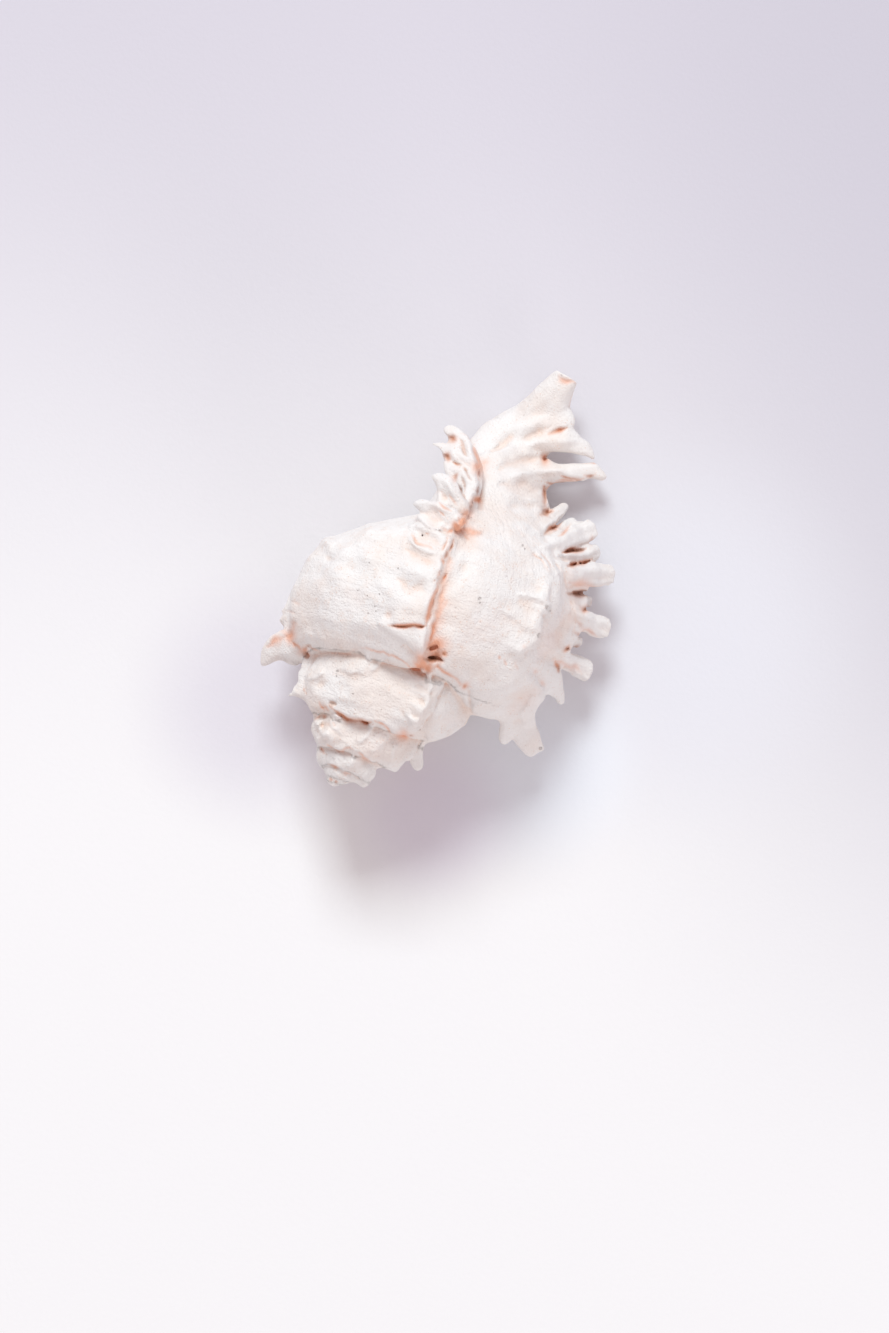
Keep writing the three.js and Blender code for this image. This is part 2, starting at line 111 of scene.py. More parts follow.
class Bench:
    """A node tree to work on."""

    def __init__(self, tree):
        self.tree = tree
        self.group = tree.nodes.new("NodeGroupInput") if tree.type == "GEOMETRY" else None

    def size(self, name, kind, value=None):
        """A named input of the tree."""
        socket = self.tree.interface.new_socket(name, in_out="INPUT", socket_type=kind)
        if value is not None:
            socket.default_value = value
        return Wire(self, self.group.outputs[name])

    def node(self, kind, settings=None, inputs=None, out=0):
        """Any node: its type, its settings, what goes into its sockets, and the output that is wanted."""
        made = self.tree.nodes.new(kind)
        for name, value in (settings or {}).items():
            if name == "curve":
                self.bend(made.mapping, value)
            else:
                setattr(made, name, value)
        for name, value in (inputs or {}).items():
            if isinstance(value, Wire):
                self.tree.links.new(value.socket, made.inputs[name])
            else:
                made.inputs[name].default_value = value
        return Wire(self, made.outputs[out])

    def bend(self, mapping, points):
        """Draws a Float Curve through points."""
        mapping.use_clip = False
        curve = mapping.curves[0]
        for x, y in points[2:]:
            curve.points.new(x, y)
        for point, (x, y) in zip(curve.points, points):
            point.location = (x, y)
            point.handle_type = "AUTO"
        mapping.update()

    def join(self, operation, a, b):
        """The node of an operator, for numbers or for vectors."""
        if not is_vector(a) and not is_vector(b):
            return self.node("ShaderNodeMath", {"operation": operation}, {0: a, 1: b})
        if operation == "DIVIDE" and not is_vector(b):
            operation, b = "MULTIPLY", 1 / b
        if operation == "MULTIPLY" and is_vector(a) != is_vector(b):
            vector, scale = (a, b) if is_vector(a) else (b, a)
            return self.node("ShaderNodeVectorMath", {"operation": "SCALE"}, {0: vector, "Scale": scale})
        return self.node("ShaderNodeVectorMath", {"operation": operation}, {0: a, 1: b})

    def maths(self, operation, *values):
        return self.node("ShaderNodeMath", {"operation": operation}, dict(enumerate(values)))

    def vector(self, operation, *values):
        out = "Value" if operation in ("DOT_PRODUCT", "LENGTH", "DISTANCE") else "Vector"
        return self.node("ShaderNodeVectorMath", {"operation": operation}, dict(enumerate(values)), out)

    def smooth(self, value, start=0.0, end=1.0):
        return self.node("ShaderNodeMapRange", {"interpolation_type": "SMOOTHSTEP"},
                         {"Value": value, "From Min": start, "From Max": end})

    def mixed(self, share, a, b):
        return a + (b - a) * share

    def curve(self, value, points):
        return self.node("ShaderNodeFloatCurve", {"curve": points}, {"Value": value})

    def split(self, vector):
        made = self.node("ShaderNodeSeparateXYZ", None, {0: vector})
        return [Wire(self, made.socket.node.outputs[axis]) for axis in "XYZ"]

    def xyz(self, x, y, z):
        return self.node("ShaderNodeCombineXYZ", None, {"X": x, "Y": y, "Z": z})

    def noise(self, vector, scale, detail=2.0, out="Fac"):
        inputs = {"Vector": vector, "Scale": scale, "Detail": detail}
        return self.node("ShaderNodeTexNoise", None, inputs, out)

    def read(self, name, kind="FLOAT"):
        """A named attribute of the geometry."""
        return self.node("GeometryNodeInputNamedAttribute", {"data_type": kind}, {"Name": name})

    def stored(self, geometry, name, value, kind="FLOAT"):
        return self.node("GeometryNodeStoreNamedAttribute", {"data_type": kind, "domain": "POINT"},
                         {"Geometry": geometry, "Name": name, "Value": value})

    def finished(self, geometry, material):
        """Ends a geometry tree: real meshes only, with their material."""
        real = self.node("GeometryNodeRealizeInstances", None, {"Geometry": geometry})
        dressed = self.node("GeometryNodeSetMaterial", None, {"Geometry": real, "Material": material})
        self.tree.interface.new_socket("Geometry", in_out="OUTPUT", socket_type="NodeSocketGeometry")
        out = self.tree.nodes.new("NodeGroupOutput")
        self.tree.links.new(dressed.socket, out.inputs["Geometry"])


def seed_points(name, rows):
    """A mesh of loose points that carry numbers and vectors, one row of values a point."""
    mesh = bpy.data.meshes.new(name)
    mesh.from_pydata([row.get("base", (0, 0, 0)) for row in rows], [], [])
    for key, value in rows[0].items():
        kind, field = ("FLOAT", "value") if isinstance(value, (int, float)) else ("FLOAT_VECTOR", "vector")
        data = mesh.attributes.new(key, kind, "POINT").data
        data.foreach_set(field, np.array([row[key] for row in rows], dtype=np.float32).ravel())
    return mesh


def grown(tree, seeds, sizes):
    """Runs a geometry tree on a seed mesh, and returns its points and triangles as arrays."""
    holder = bpy.data.objects.new(tree.name, seeds)
    bpy.context.collection.objects.link(holder)
    modifier = holder.modifiers.new(tree.name, "NODES")
    modifier.node_group = tree
    for item in tree.interface.items_tree:
        if item.in_out == "INPUT" and item.name in sizes:
            modifier[item.identifier] = sizes[item.name]
    mesh = bpy.data.meshes.new_from_object(holder.evaluated_get(bpy.context.evaluated_depsgraph_get()))
    bpy.data.objects.remove(holder)
    points = np.empty((len(mesh.vertices), 3), dtype=np.float32)
    mesh.vertices.foreach_get("co", points.ravel())
    mesh.calc_loop_triangles()
    corners = np.empty((len(mesh.loop_triangles), 3), dtype=np.int32)
    mesh.loop_triangles.foreach_get("vertices", corners.ravel())
    bpy.data.meshes.remove(mesh)
    return points, corners


def bodies_of(count, points, corners):
    """Parts what a tree grew on that many seeds into its closed bodies."""
    per, faces = len(points) // count, len(corners) // count
    return [(points[i * per:(i + 1) * per], corners[i * faces:(i + 1) * faces] - i * per)
            for i in range(count)]

print("formulas can now be written with + - * / and **")

# %% [markdown]
# ## The coil
#
# Each whorl of the shell has the same outline, and both its radius and its distance down the axis grow by
# a fixed factor with each turn. Where the snail paused it left a thick rib, a varix, and between the
# varices smaller ribs. Spiral cords run round the whorl, and they stand highest where they cross a rib.
#
# A curve swept along a spiral would twist the outline, so the tree moves the points of a plain cylinder
# instead: its length becomes turns, and its rim becomes the outline. Lengths here are millimetres, X to
# the right, Y from the tip of the spire to the end of the canal, Z up.

# %% The coil's numbers
APEX = np.array([0.3, -0.3, 29.5])
AXIS_LEAN = math.radians(5.5)
AXIS_TILT = math.radians(7)
LIP_RADIUS, RADIUS_GROWTH = 33.0, 1.63
LIP_DROP, DROP_GROWTH = 34.0, 1.95
FIRST_TURN, LAST_TURN = -5.6, 0.095
LIP_CLIMB = 6.0

AXIS = np.array([-math.sin(AXIS_LEAN) * math.cos(AXIS_TILT), math.cos(AXIS_LEAN) * math.cos(AXIS_TILT),
                 -math.sin(AXIS_TILT)])
LEFT = np.array([-math.cos(AXIS_LEAN), -math.sin(AXIS_LEAN), 0.0])
UP = np.cross(AXIS, LEFT)

# one whorl from its suture to its base: radius and drop as shares of the widest radius
OUTLINE = [(0.5, 0.04), (0.62, -0.01), (0.76, 0.01), (0.87, 0.1), (0.945, 0.22), (0.985, 0.34),
           (1.005, 0.43), (1.003, 0.52), (0.998, 0.62), (0.985, 0.7), (0.965, 0.77), (0.932, 0.87),
           (0.892, 0.94), (0.835, 1.0), (0.7, 1.11), (0.56, 1.22), (0.4, 1.32), (0.2, 1.42), (0.03, 1.42),
           (0.03, 0.06)]
# its outer part, from the shoulder to the base
FLANK = OUTLINE[2:18]

# ribs and varices: the turn of the crest, its height, and the turns that it rises and falls in
MARKS = [(0.02, 0.08, 0.05, 0.05), (-0.083, 0.04, 0.05, 0.03), (-0.243, 0.075, 0.09, 0.016),
         (-0.36, 0.02, 0.04, 0.04), (-0.45, 0.03, 0.04, 0.04), (-0.545, 0.09, 0.06, 0.03),
         (-0.66, 0.03, 0.04, 0.04), (-0.79, 0.06, 0.06, 0.03), (-0.944, 0.08, 0.06, 0.03),
         (-1.147, 0.1, 0.07, 0.018), (-1.297, 0.05, 0.05, 0.04), (-1.486, 0.12, 0.06, 0.03),
         (-1.66, 0.08, 0.06, 0.04), (-1.83, 0.09, 0.06, 0.04), (-2.0, 0.1, 0.07, 0.03),
         (-2.17, 0.09, 0.07, 0.03), (-2.33, 0.1, 0.07, 0.04), (-2.47, 0.12, 0.07, 0.04),
         (-2.7, 0.1, 0.08, 0.05), (-2.98, 0.13, 0.09, 0.04), (-3.2, 0.1, 0.08, 0.05), (-3.5, 0.1, 0.08, 0.05)]

# spiral cords: where each lies on the outline, its height and half width, as shares of the widest radius
CORDS = [(0.17, 0.022, 0.05), (0.36, 0.014, 0.04), (0.5, 0.012, 0.035), (0.685, 0.016, 0.04),
         (0.885, 0.014, 0.035), (1.08, 0.014, 0.04), (1.28, 0.012, 0.04)]
TALLEST_CORD = 0.022
CORDS_FROM, CORDS_TO = -0.05, 1.45

# the coil is grown in pieces of this many turns, coarser on the small early whorls
PIECE_TURNS, PIECE_OVERLAP = 0.85, 0.01
PIECE_SECTIONS, PIECE_SIDES = 260, 140
COARSE_BEFORE = -2.5


def eased(x):
    t = np.clip(x, 0, 1)
    return t * t * (3 - 2 * t)


def radius_at(turn):
    return LIP_RADIUS * RADIUS_GROWTH ** turn


def drop_at(turn):
    return LIP_DROP * DROP_GROWTH ** turn


def coil_point(turn, radius, drop):
    angle = math.pi + turn * 2 * math.pi
    return APEX + AXIS * drop + (LEFT * math.cos(angle) + UP * math.sin(angle)) * radius


def mark_height(turn):
    return max(h * float(eased(1 + (turn - m) / (r if turn < m else -f))) for m, h, r, f in MARKS)

print("the last whorl is", round(2 * LIP_RADIUS), "mm across, and each whorl before it is",
      round(100 / RADIUS_GROWTH), "% of that")

# %% The coil's tree
shell_material = bpy.data.materials.new("bleached_shell")
shell_material.use_nodes = True


def cord_over(bench, drop, steps=91):
    """The cords' height over the drop, as a share of the tallest cord."""
    drops = np.linspace(CORDS_FROM, CORDS_TO, steps)
    heights = sum(h * np.exp(-((drops - d) / (0.55 * w)) ** 2) for d, h, w in CORDS) / TALLEST_CORD
    points = [(float(x), float(y)) for x, y in zip(np.linspace(0, 1, steps), heights)]
    return bench.curve((drop - CORDS_FROM) / (CORDS_TO - CORDS_FROM), points)


def coil_frame(bench):
    """The coil's sizes as inputs of a tree, and a formula for a point of the coil."""
    apex, axis, left, up = (bench.size(name, "NodeSocketVector", tuple(value)) for name, value in
                            (("Apex", APEX), ("Axis", AXIS), ("Left", LEFT), ("Up", UP)))
    radius, growth, drop, sinking = (bench.size(name, "NodeSocketFloat", value) for name, value in
                                     (("Lip radius", LIP_RADIUS), ("Radius growth", RADIUS_GROWTH),
                                      ("Lip drop", LIP_DROP), ("Drop growth", DROP_GROWTH)))

    def point(turn, out, down):
        angle = (turn + 0.5) * (2 * math.pi)
        spoke = left * bench.maths("COSINE", angle) + up * bench.maths("SINE", angle)
        return apex + axis * down + spoke * out
    return point, lambda turn: radius * growth ** turn, lambda turn: drop * sinking ** turn


def cylinder(bench, around, along):
    """A closed cylinder to bend: its points' share along it and place around it."""
    mesh = bench.node("GeometryNodeMeshCylinder", {"fill_type": "NGON"},
                      {"Vertices": around, "Side Segments": along, "Radius": 1.0, "Depth": 1.0})
    return bench.stored(mesh, "local", bench.node("GeometryNodeInputPosition"), "FLOAT_VECTOR")


def coil_tree():
    tree = bpy.data.node_groups.new("coil", "GeometryNodeTree")
    bench = Bench(tree)
    marks = bench.size("Marks", "NodeSocketGeometry")
    point, size_at, sink_at = coil_frame(bench)
    first = bench.size("First turn", "NodeSocketFloat", FIRST_TURN)
    last = bench.size("Last turn", "NodeSocketFloat", LAST_TURN)
    around = bench.size("Outline points", "NodeSocketInt", 120)
    along = bench.size("Sections", "NodeSocketInt", 200)
    lip_climb = bench.size("Lip climb", "NodeSocketFloat", LIP_CLIMB)
    cord_height = bench.size("Cord height", "NodeSocketFloat", 0.005)
    growth_lines = bench.size("Growth lines", "NodeSocketFloat", 0.004)
    material = bench.size("Material", "NodeSocketMaterial")
    tube = cylinder(bench, around, along)
    turn = bench.mixed(bench.split(bench.read("local", "FLOAT_VECTOR"))[2] + 0.5, first, last)
    place = bench.maths("MODULO", bench.node("GeometryNodeInputIndex"), around) / around
    steps = len(OUTLINE)
    closed = OUTLINE + OUTLINE[:1]
    radius = bench.curve(place, [(i / steps, r) for i, (r, d) in enumerate(closed)])
    drop = bench.curve(place, [(i / steps, d) for i, (r, d) in enumerate(closed)])
    cord = cord_over(bench, drop)

    # the ribs: a loop over the marks keeps the highest of them at each point
    start = tree.nodes.new("GeometryNodeRepeatInput")
    end = tree.nodes.new("GeometryNodeRepeatOutput")
    start.pair_with_output(end)
    tree.links.new(bench.stored(tube, "rib", 0.0).socket, start.inputs["Geometry"])
    start.inputs["Iterations"].default_value = len(MARKS)
    step = Wire(bench, start.outputs["Iteration"])

    def mark(name):
        return bench.node("GeometryNodeSampleIndex", {"data_type": "FLOAT", "domain": "POINT"},
                          {"Geometry": marks, "Value": bench.read(name), "Index": step})
    away = turn - mark("turn")
    rising, falling = away / mark("rise") + 1, 1 - away / mark("fall")
    height = mark("height") * bench.smooth(bench.maths("MINIMUM", rising, falling))
    highest = bench.maths("MAXIMUM", bench.read("rib"), height)
    kept = bench.stored(Wire(bench, start.outputs["Geometry"]), "rib", highest)
    tree.links.new(kept.socket, end.inputs["Geometry"])
    ribbed = Wire(bench, end.outputs["Geometry"])

    size = size_at(turn)
    across = bench.smooth(drop / 0.2) * bench.smooth((1.35 - drop) / 0.5)
    rib = bench.read("rib") * (1 + cord * bench.mixed(bench.smooth(turn, -1.6, -0.8), 0.3, 0.1)) * across
    lines = bench.noise(bench.xyz(turn * 110, drop * 4, 0), 1.0, 3.0) - 0.5
    worn = bench.smooth(bench.noise(bench.xyz(turn * 14, drop * 5, 8), 1.0, 2.0), 0.38, 0.62)
    raised = cord * cord_height * worn * bench.smooth(radius, 0.45, 0.7)
    swollen = radius + rib + raised + lines * growth_lines
    climb = lip_climb * bench.smooth((turn + 0.16) / 0.16) * bench.smooth(1 - drop)
    where = point(turn, swollen * size, sink_at(turn) + drop * size - climb)
    moved = bench.node("GeometryNodeSetPosition", None, {"Geometry": ribbed, "Position": where})
    bench.finished(moved, material)
    return tree


coil_nodes = coil_tree()
mark_seeds = seed_points("marks", [dict(turn=m, height=h, rise=r, fall=f) for m, h, r, f in MARKS])
coil_pieces = []
piece_end = LAST_TURN
while piece_end > FIRST_TURN:
    piece_start = max(FIRST_TURN, piece_end - PIECE_TURNS)
    fine = 1.0 if piece_end > COARSE_BEFORE else 0.5
    coil_pieces.append(grown(coil_nodes, mark_seeds, {
        "First turn": piece_start, "Last turn": piece_end + (PIECE_OVERLAP if piece_end < LAST_TURN else 0),
        "Sections": int(PIECE_SECTIONS * fine), "Outline points": int(PIECE_SIDES * fine),
        "Material": shell_material}))
    piece_end = piece_start
print(len(coil_pieces), "pieces of coil, of less than a turn each, so that none of them meets itself")

# %% [markdown]
# ## Fronds and spines
#
# Where the shell paused, the rim grew out into fronds: flattened horns with an open gutter below and soft
# ridges along them. They are all one form in different sizes, so one tree makes them: a closed cylinder is
# put on each seed point, and the seed's own base, tip and widths bend it into a horn. On this worn shell
# the lip's fronds are blunt and broken off square, and the older spines taper. The folded beaks of the
# middle varix have forms of their own, and come later as lobes.

# %% The fronds' tree
def on_seeds(bench, seeds, body):
    """One copy of a body for each seed point, with the seed's numbers on its points."""
    points = bench.node("GeometryNodeMeshToPoints", None, {"Mesh": seeds})
    copies = bench.node("GeometryNodeInstanceOnPoints", None, {"Points": points, "Instance": body})
    return bench.node("GeometryNodeRealizeInstances", None, {"Geometry": copies})


def frond_tree():
    tree = bpy.data.node_groups.new("fronds", "GeometryNodeTree")
    bench = Bench(tree)
    seeds = bench.size("Seeds", "NodeSocketGeometry")
    around = bench.size("Sides", "NodeSocketInt", 40)
    along = bench.size("Sections", "NodeSocketInt", 30)
    ridges = bench.size("Ridges", "NodeSocketFloat", 7.0)
    ridge_depth = bench.size("Ridge depth", "NodeSocketFloat", 0.1)
    unevenness = bench.size("Unevenness", "NodeSocketFloat", 0.9)
    flare = bench.size("Flare", "NodeSocketFloat", 0.06)
    squareness = bench.size("Squareness", "NodeSocketFloat", 0.7)
    gutter_depth = bench.size("Gutter depth", "NodeSocketFloat", 0.5)
    material = bench.size("Material", "NodeSocketMaterial")
    horns = on_seeds(bench, seeds, cylinder(bench, around, along))

    x, y, z = bench.split(bench.read("local", "FLOAT_VECTOR"))
    share = z + 0.5
    base, tip, bend = (bench.read(name, "FLOAT_VECTOR") for name in ("base", "tip", "bend"))
    middle = (base + tip) * 0.5 + bend
    path = base * (1 - share) ** 2 + middle * (2 * share * (1 - share)) + tip * share ** 2
    heading = (middle - base) * (1 - share) + (tip - middle) * share
    side = bench.vector("NORMALIZE", bench.vector("CROSS_PRODUCT", heading, (0, 0, 1)))
    over = bench.vector("NORMALIZE", bench.vector("CROSS_PRODUCT", side, heading))
    width = bench.mixed(share ** 0.5, bench.read("width"), bench.read("tip_width"))
    width = width * (1 + bench.smooth(share, 0.75, 1.0) * flare)
    thick = bench.mixed(share, bench.read("thick"), bench.read("tip_thick"))
    thick = thick * (0.35 + bench.smooth(share, 0.0, 0.3) * 0.65)
    blunt = bench.read("blunt")
    rounding = (1 - bench.maths("MAXIMUM", (share - 1 + blunt) / blunt, 0.0) ** 2 * 0.96) ** 0.5
    angle = bench.maths("ARCTAN2", y, x)
    wave = bench.maths("COSINE", angle * ridges)
    ridged = 1 + wave * ridge_depth * bench.smooth(share * 2.5)
    below = bench.smooth(0 - y, 0.0, 0.6) * bench.smooth(1 - bench.maths("ABSOLUTE", x))
    gutter = gutter_depth * below * bench.smooth(share * 2)
    rough = bench.noise(path + side * x + over * y, 0.35, 2.0, "Color")
    x, y = (bench.maths("SIGN", v) * bench.maths("ABSOLUTE", v) ** squareness for v in (x, y))
    where = (path + side * (x * width * 0.5 * ridged * rounding)
             + over * (y * (1 - gutter) * thick * 0.5 * ridged * rounding)
             + (rough - (0.5, 0.5, 0.5)) * unevenness)
    moved = bench.node("GeometryNodeSetPosition", None, {"Geometry": horns, "Position": where})
    bench.finished(moved, material)
    return tree


frond_nodes = frond_tree()


def horn(base, tip, width, tip_width, thick, bend=(0, 0, 0), blunt=0.12, tip_thick=None):
    """One frond's seed, in millimetres. Blunt is the share of its length that its end is rounded in."""
    tip_thick = tip_thick or min(thick, tip_width) * 0.75
    return dict(base=base, tip=tip, bend=bend, width=float(width), tip_width=float(tip_width),
                thick=float(thick), tip_thick=float(tip_thick), blunt=float(blunt))


def horns_of(rows, name, **sizes):
    """The fronds of these seeds, each as its own closed body."""
    points, corners = grown(frond_nodes, seed_points(name, rows), dict(sizes, Material=shell_material))
    return bodies_of(len(rows), points, corners)

# %% Seeds of the fronds
LIP_FRONDS = [
    horn((25.4, 49.6, 32.6), (37.8, 50.2, 11), 4.4, 4, 5.2, bend=(-2, 0, -8), blunt=0.05, tip_thick=3.6),
    horn((27, 54.8, 25.5), (32.6, 54.4, 9.5), 4, 2.4, 3.4, bend=(0, 0, -4)),
    horn((24.4, 57.4, 31), (36.2, 60.8, 10.5), 4.8, 4.2, 5.2, bend=(-1, 0, -6), blunt=0.05, tip_thick=3.6),
    horn((24.6, 61.5, 26), (30, 64, 9), 3.8, 2.8, 3.4, bend=(0, 0, -4)),
    horn((20.4, 65.2, 32.2), (31.3, 71.4, 10.5), 5.8, 4.2, 5.2,
         bend=(-0.5, 0, -6), blunt=0.05, tip_thick=3.6),
    horn((18.3, 67.5, 29.6), (26, 74.7, 10), 4.8, 2.7, 4, bend=(0, 0, -4)),
    horn((14.8, 68, 32), (22.2, 78.4, 10), 5.6, 3.8, 5.2, bend=(-0.6, 0.2, -5), blunt=0.08, tip_thick=3.6),
    horn((13.4, 70.4, 27), (17.6, 78, 9.5), 2.4, 0.9, 3, bend=(0, 0, -4)),
    horn((10.8, 70.4, 30), (14.5, 80.2, 9.5), 3.6, 1.5, 3.8, bend=(0, 0, -4)),
]
OLDER_SPINES = [
    horn((-11.5, 18, 27), (-19, 12, 25), 5.8, 1, 4.6, blunt=0.2),
    horn((10.5, 20, 25), (15.2, 12.2, 21), 5.6, 2.2, 4.6, bend=(-1.4, -0.8, 0), blunt=0.1),
    horn((-16, 34, 15), (-25, 30, -1), 9, 2.6, 7, bend=(-1.5, 1, 3), blunt=0.1, tip_thick=2.4),
    horn((-17, 43.5, 15), (-25, 45, -1), 8, 2.6, 6, bend=(-1.5, 0.5, 3), blunt=0.1, tip_thick=2.2),
    horn((-8, 52, 22), (-18, 56, 7), 8, 1.6, 7, bend=(-1, 0.5, 2)),
    horn((-17, 39, 14), (-24.4, 37.4, 5), 5, 0.9, 4, bend=(-1, 0, 1.5)),
    horn((-13, 49, 16), (-21.6, 51.6, 6), 5.4, 1, 4.4, bend=(-1, 0, 1.5)),
    horn((7.5, 11, 28), (11, 9.6, 27), 4.2, 1.8, 4),
    horn((3.5, 5.5, 29), (6.5, 3.2, 28.5), 3.4, 1.6, 3.5),
]
lip_horns = horns_of(LIP_FRONDS, "lip_fronds", **{"Ridge depth": 0.13, "Ridges": 7.0})
older_horns = horns_of(OLDER_SPINES, "older_spines", **{"Ridge depth": 0.11, "Ridges": 6.0})
print(len(lip_horns), "fronds on the lip and", len(older_horns), "older spines")

# %% [markdown]
# ## Crests of the varices
#
# A varix is a stack of thin frills that once were the rim. Each frill here is an oval section that runs
# down the whorl at one turn of the coil, leaning back, and that stands higher where a cord meets it. The
# tree uses the coil's own formula, so a frill can't leave the surface that it grew from.

# %% The crests' tree and seeds
def crest_tree():
    tree = bpy.data.node_groups.new("crests", "GeometryNodeTree")
    bench = Bench(tree)
    seeds = bench.size("Seeds", "NodeSocketGeometry")
    point, size_at, sink_at = coil_frame(bench)
    around = bench.size("Sides", "NodeSocketInt", 20)
    along = bench.size("Sections", "NodeSocketInt", 150)
    scallop = bench.size("Scallop", "NodeSocketFloat", 0.9)
    material = bench.size("Material", "NodeSocketMaterial")
    frills = on_seeds(bench, seeds, cylinder(bench, around, along))

    x, y, z = bench.split(bench.read("local", "FLOAT_VECTOR"))
    share = z + 0.5
    drop = bench.mixed(share, bench.read("from"), bench.read("to"))
    radius = bench.curve(drop / CORDS_TO, [(d / CORDS_TO, r) for r, d in FLANK])
    cord = cord_over(bench, drop)
    ragged = bench.noise(bench.xyz(drop * 9, bench.read("turn") * 40, 0), 1.0, 2.0) - 0.5
    ends = 0.45 + bench.maths("SINE", share * math.pi) * 0.55
    turn, back = bench.read("turn"), bench.read("back")
    size = size_at(turn)
    out = (radius + bench.read("lift")) * size
    down = sink_at(turn) + drop * size
    foot = point(turn, out, down)
    rise = bench.read("height") * ends * (1 + (cord - 0.4) * scallop + ragged * 0.9)
    lean = point(turn, out + rise, down) - foot + (point(turn - back, out, down) - foot)
    across = bench.vector("NORMALIZE", bench.vector("CROSS_PRODUCT", lean, tuple(AXIS)))
    where = foot + lean * x + across * (y * bench.read("thick") * ends)
    moved = bench.node("GeometryNodeSetPosition", None, {"Geometry": frills, "Position": where})
    bench.finished(moved, material)
    return tree


def crest(turn, start, end, height, thick, back):
    return {"turn": turn, "from": start, "to": end, "height": height, "thick": thick, "back": back,
            "lift": mark_height(turn) * 0.5}


CRESTS = [
    crest(0.016, 0.3, 1.2, 1.6, 2.2, -0.01),
    crest(-0.552, 0.1, 0.68, 2.2, 1.8, 0.01), crest(-0.54, 0.15, 0.64, 2.0, 1.0, 0.0),
    crest(-0.79, 0.2, 1.0, 1.4, 1.8, 0.01),
    crest(-1.15, 0.06, 0.72, 1.5, 1.2, 0.01), crest(-1.14, 0.1, 0.7, 1.3, 0.7, 0.0),
]
crest_points, crest_corners = grown(crest_tree(), seed_points("crests", CRESTS), {"Material": shell_material})
crests = bodies_of(len(CRESTS), crest_points, crest_corners)
print(len(crests), "frills of", len(crests[0][0]), "points each")

# %% [markdown]
# ## Canal, mouth and lip
#
# Below the whorl the shell narrows to a canal, the tube that held the snail's breathing siphon. It follows
# no rule, so it is lofted: ovals stand along its length, and a smooth curve through their sizes gives the
# sections between them. The mouth's rim, the wall down to it, the hollow inside and the canal's slit are
# lofts too. Nobody sees them from above, but the shell is turned over in other views.

# %% Lofts
def curved(a, b, c, d, t):
    """The place at t, from 0 to 1, between b and c on a smooth curve through a, b, c and d."""
    return 0.5 * (2 * b + (c - a) * t + (2 * a - 5 * b + 4 * c - d) * t ** 2
                  + (3 * b - a - 3 * c + d) * t ** 3)


def between(rows, steps):
    """Rows of numbers at even steps along a smooth curve through the given rows."""
    rows = np.array(rows, dtype=float)
    padded = np.vstack([2 * rows[0] - rows[1], rows, 2 * rows[-1] - rows[-2]])
    places = np.linspace(0, len(rows) - 1 - 1e-9, steps)
    i = places.astype(int)
    return curved(*(padded[i + k] for k in range(4)), (places - i)[:, None])


def oval(centre, half_a, half_b, sides=48, power=2.0):
    """Points round an oval, which a higher power makes squarer."""
    angle = np.linspace(0, 2 * math.pi, sides, endpoint=False)[:, None]
    cos, sin = np.cos(angle), np.sin(angle)
    return (np.array(centre) + np.array(half_a) * np.sign(cos) * np.abs(cos) ** (2 / power)
            + np.array(half_b) * np.sign(sin) * np.abs(sin) ** (2 / power))


def loft(sections, ring=False):
    """A closed body through sections that have the same number of points."""
    sections = np.array(sections, dtype=np.float32)
    count, sides = sections.shape[:2]
    points = sections.reshape(-1, 3)
    i, j = np.meshgrid(np.arange(count if ring else count - 1), np.arange(sides), indexing="ij")
    a, b = i * sides + j, i * sides + (j + 1) % sides
    c, d = ((i + 1) % count) * sides + (j + 1) % sides, ((i + 1) % count) * sides + j
    corners = [np.stack([a, b, c], -1).reshape(-1, 3), np.stack([a, c, d], -1).reshape(-1, 3)]
    if not ring:
        ends = np.stack([sections[0].mean(0), sections[-1].mean(0)])
        k = np.arange(sides)
        first, last = np.full(sides, len(points)), np.full(sides, len(points) + 1)
        corners.append(np.stack([first, (k + 1) % sides, k], -1))
        corners.append(np.stack([last, k + (count - 1) * sides, (k + 1) % sides + (count - 1) * sides], -1))
        points = np.vstack([points, ends])
    return points.astype(np.float32), np.vstack(corners).astype(np.int32)

print("a loft takes its sections' points in order, and closes its ends")

# %% Canal and mouth
# each row: the middle of the oval, its half width and its half height
CANAL = [(-3, 37, 15, 7, 9), (-3, 46, 15, 8, 10.5), (-2, 55, 16.5, 9.5, 12), (0, 63, 18, 12.5, 13.5),
         (0.8, 70, 16.5, 12.8, 12.5), (0, 76, 13.5, 11.2, 10), (-1.6, 82, 9.5, 9.6, 7.6),
         (-2.2, 88, 6, 7.4, 6.6), (-0.8, 94, 5.6, 5.6, 5.4), (0, 99, 8.4, 4.1, 4), (0.4, 103, 10.8, 3.1, 2.9),
         (0.6, 105.2, 12, 2.7, 2.5)]
OLD_CANAL = [(-2.5, 60, 38, 3, 3.4), (-4.5, 68, 33, 3.6, 3.8), (-7.4, 74.5, 28.5, 3.4, 3),
             (-10.6, 79, 25, 2.6, 2.2), (-12, 80.6, 24, 1.6, 1.4)]
# the canal's slit: places along it, each with the height of its roof, cut up from below the paper
SLIT = [(6, 62, 12), (2.5, 70, 9), (-0.5, 78, 7.5), (-2, 84, 6.5), (-2.2, 89, 5.2), (-0.6, 95, 5.4),
        (0, 99.5, 8), (0.6, 103.5, 10.6), (0.9, 107, 12.6)]
SLIT_HALF, SLIT_FOOT = 1.0, -5
MOUTH = np.array([12.2, 50.5, 5.4])
MOUTH_LEAN, MOUTH_TURN = math.radians(13), math.radians(6)
MOUTH_HALF_WIDTH, MOUTH_HALF_LENGTH = 11.6, 16.6
RIM, RIM_STEPS, RIM_HEIGHT = 5.2, 160, 0.55
TEETH, TOOTH_HEIGHT = 22, 0.09
LIP_WALL = 4.4
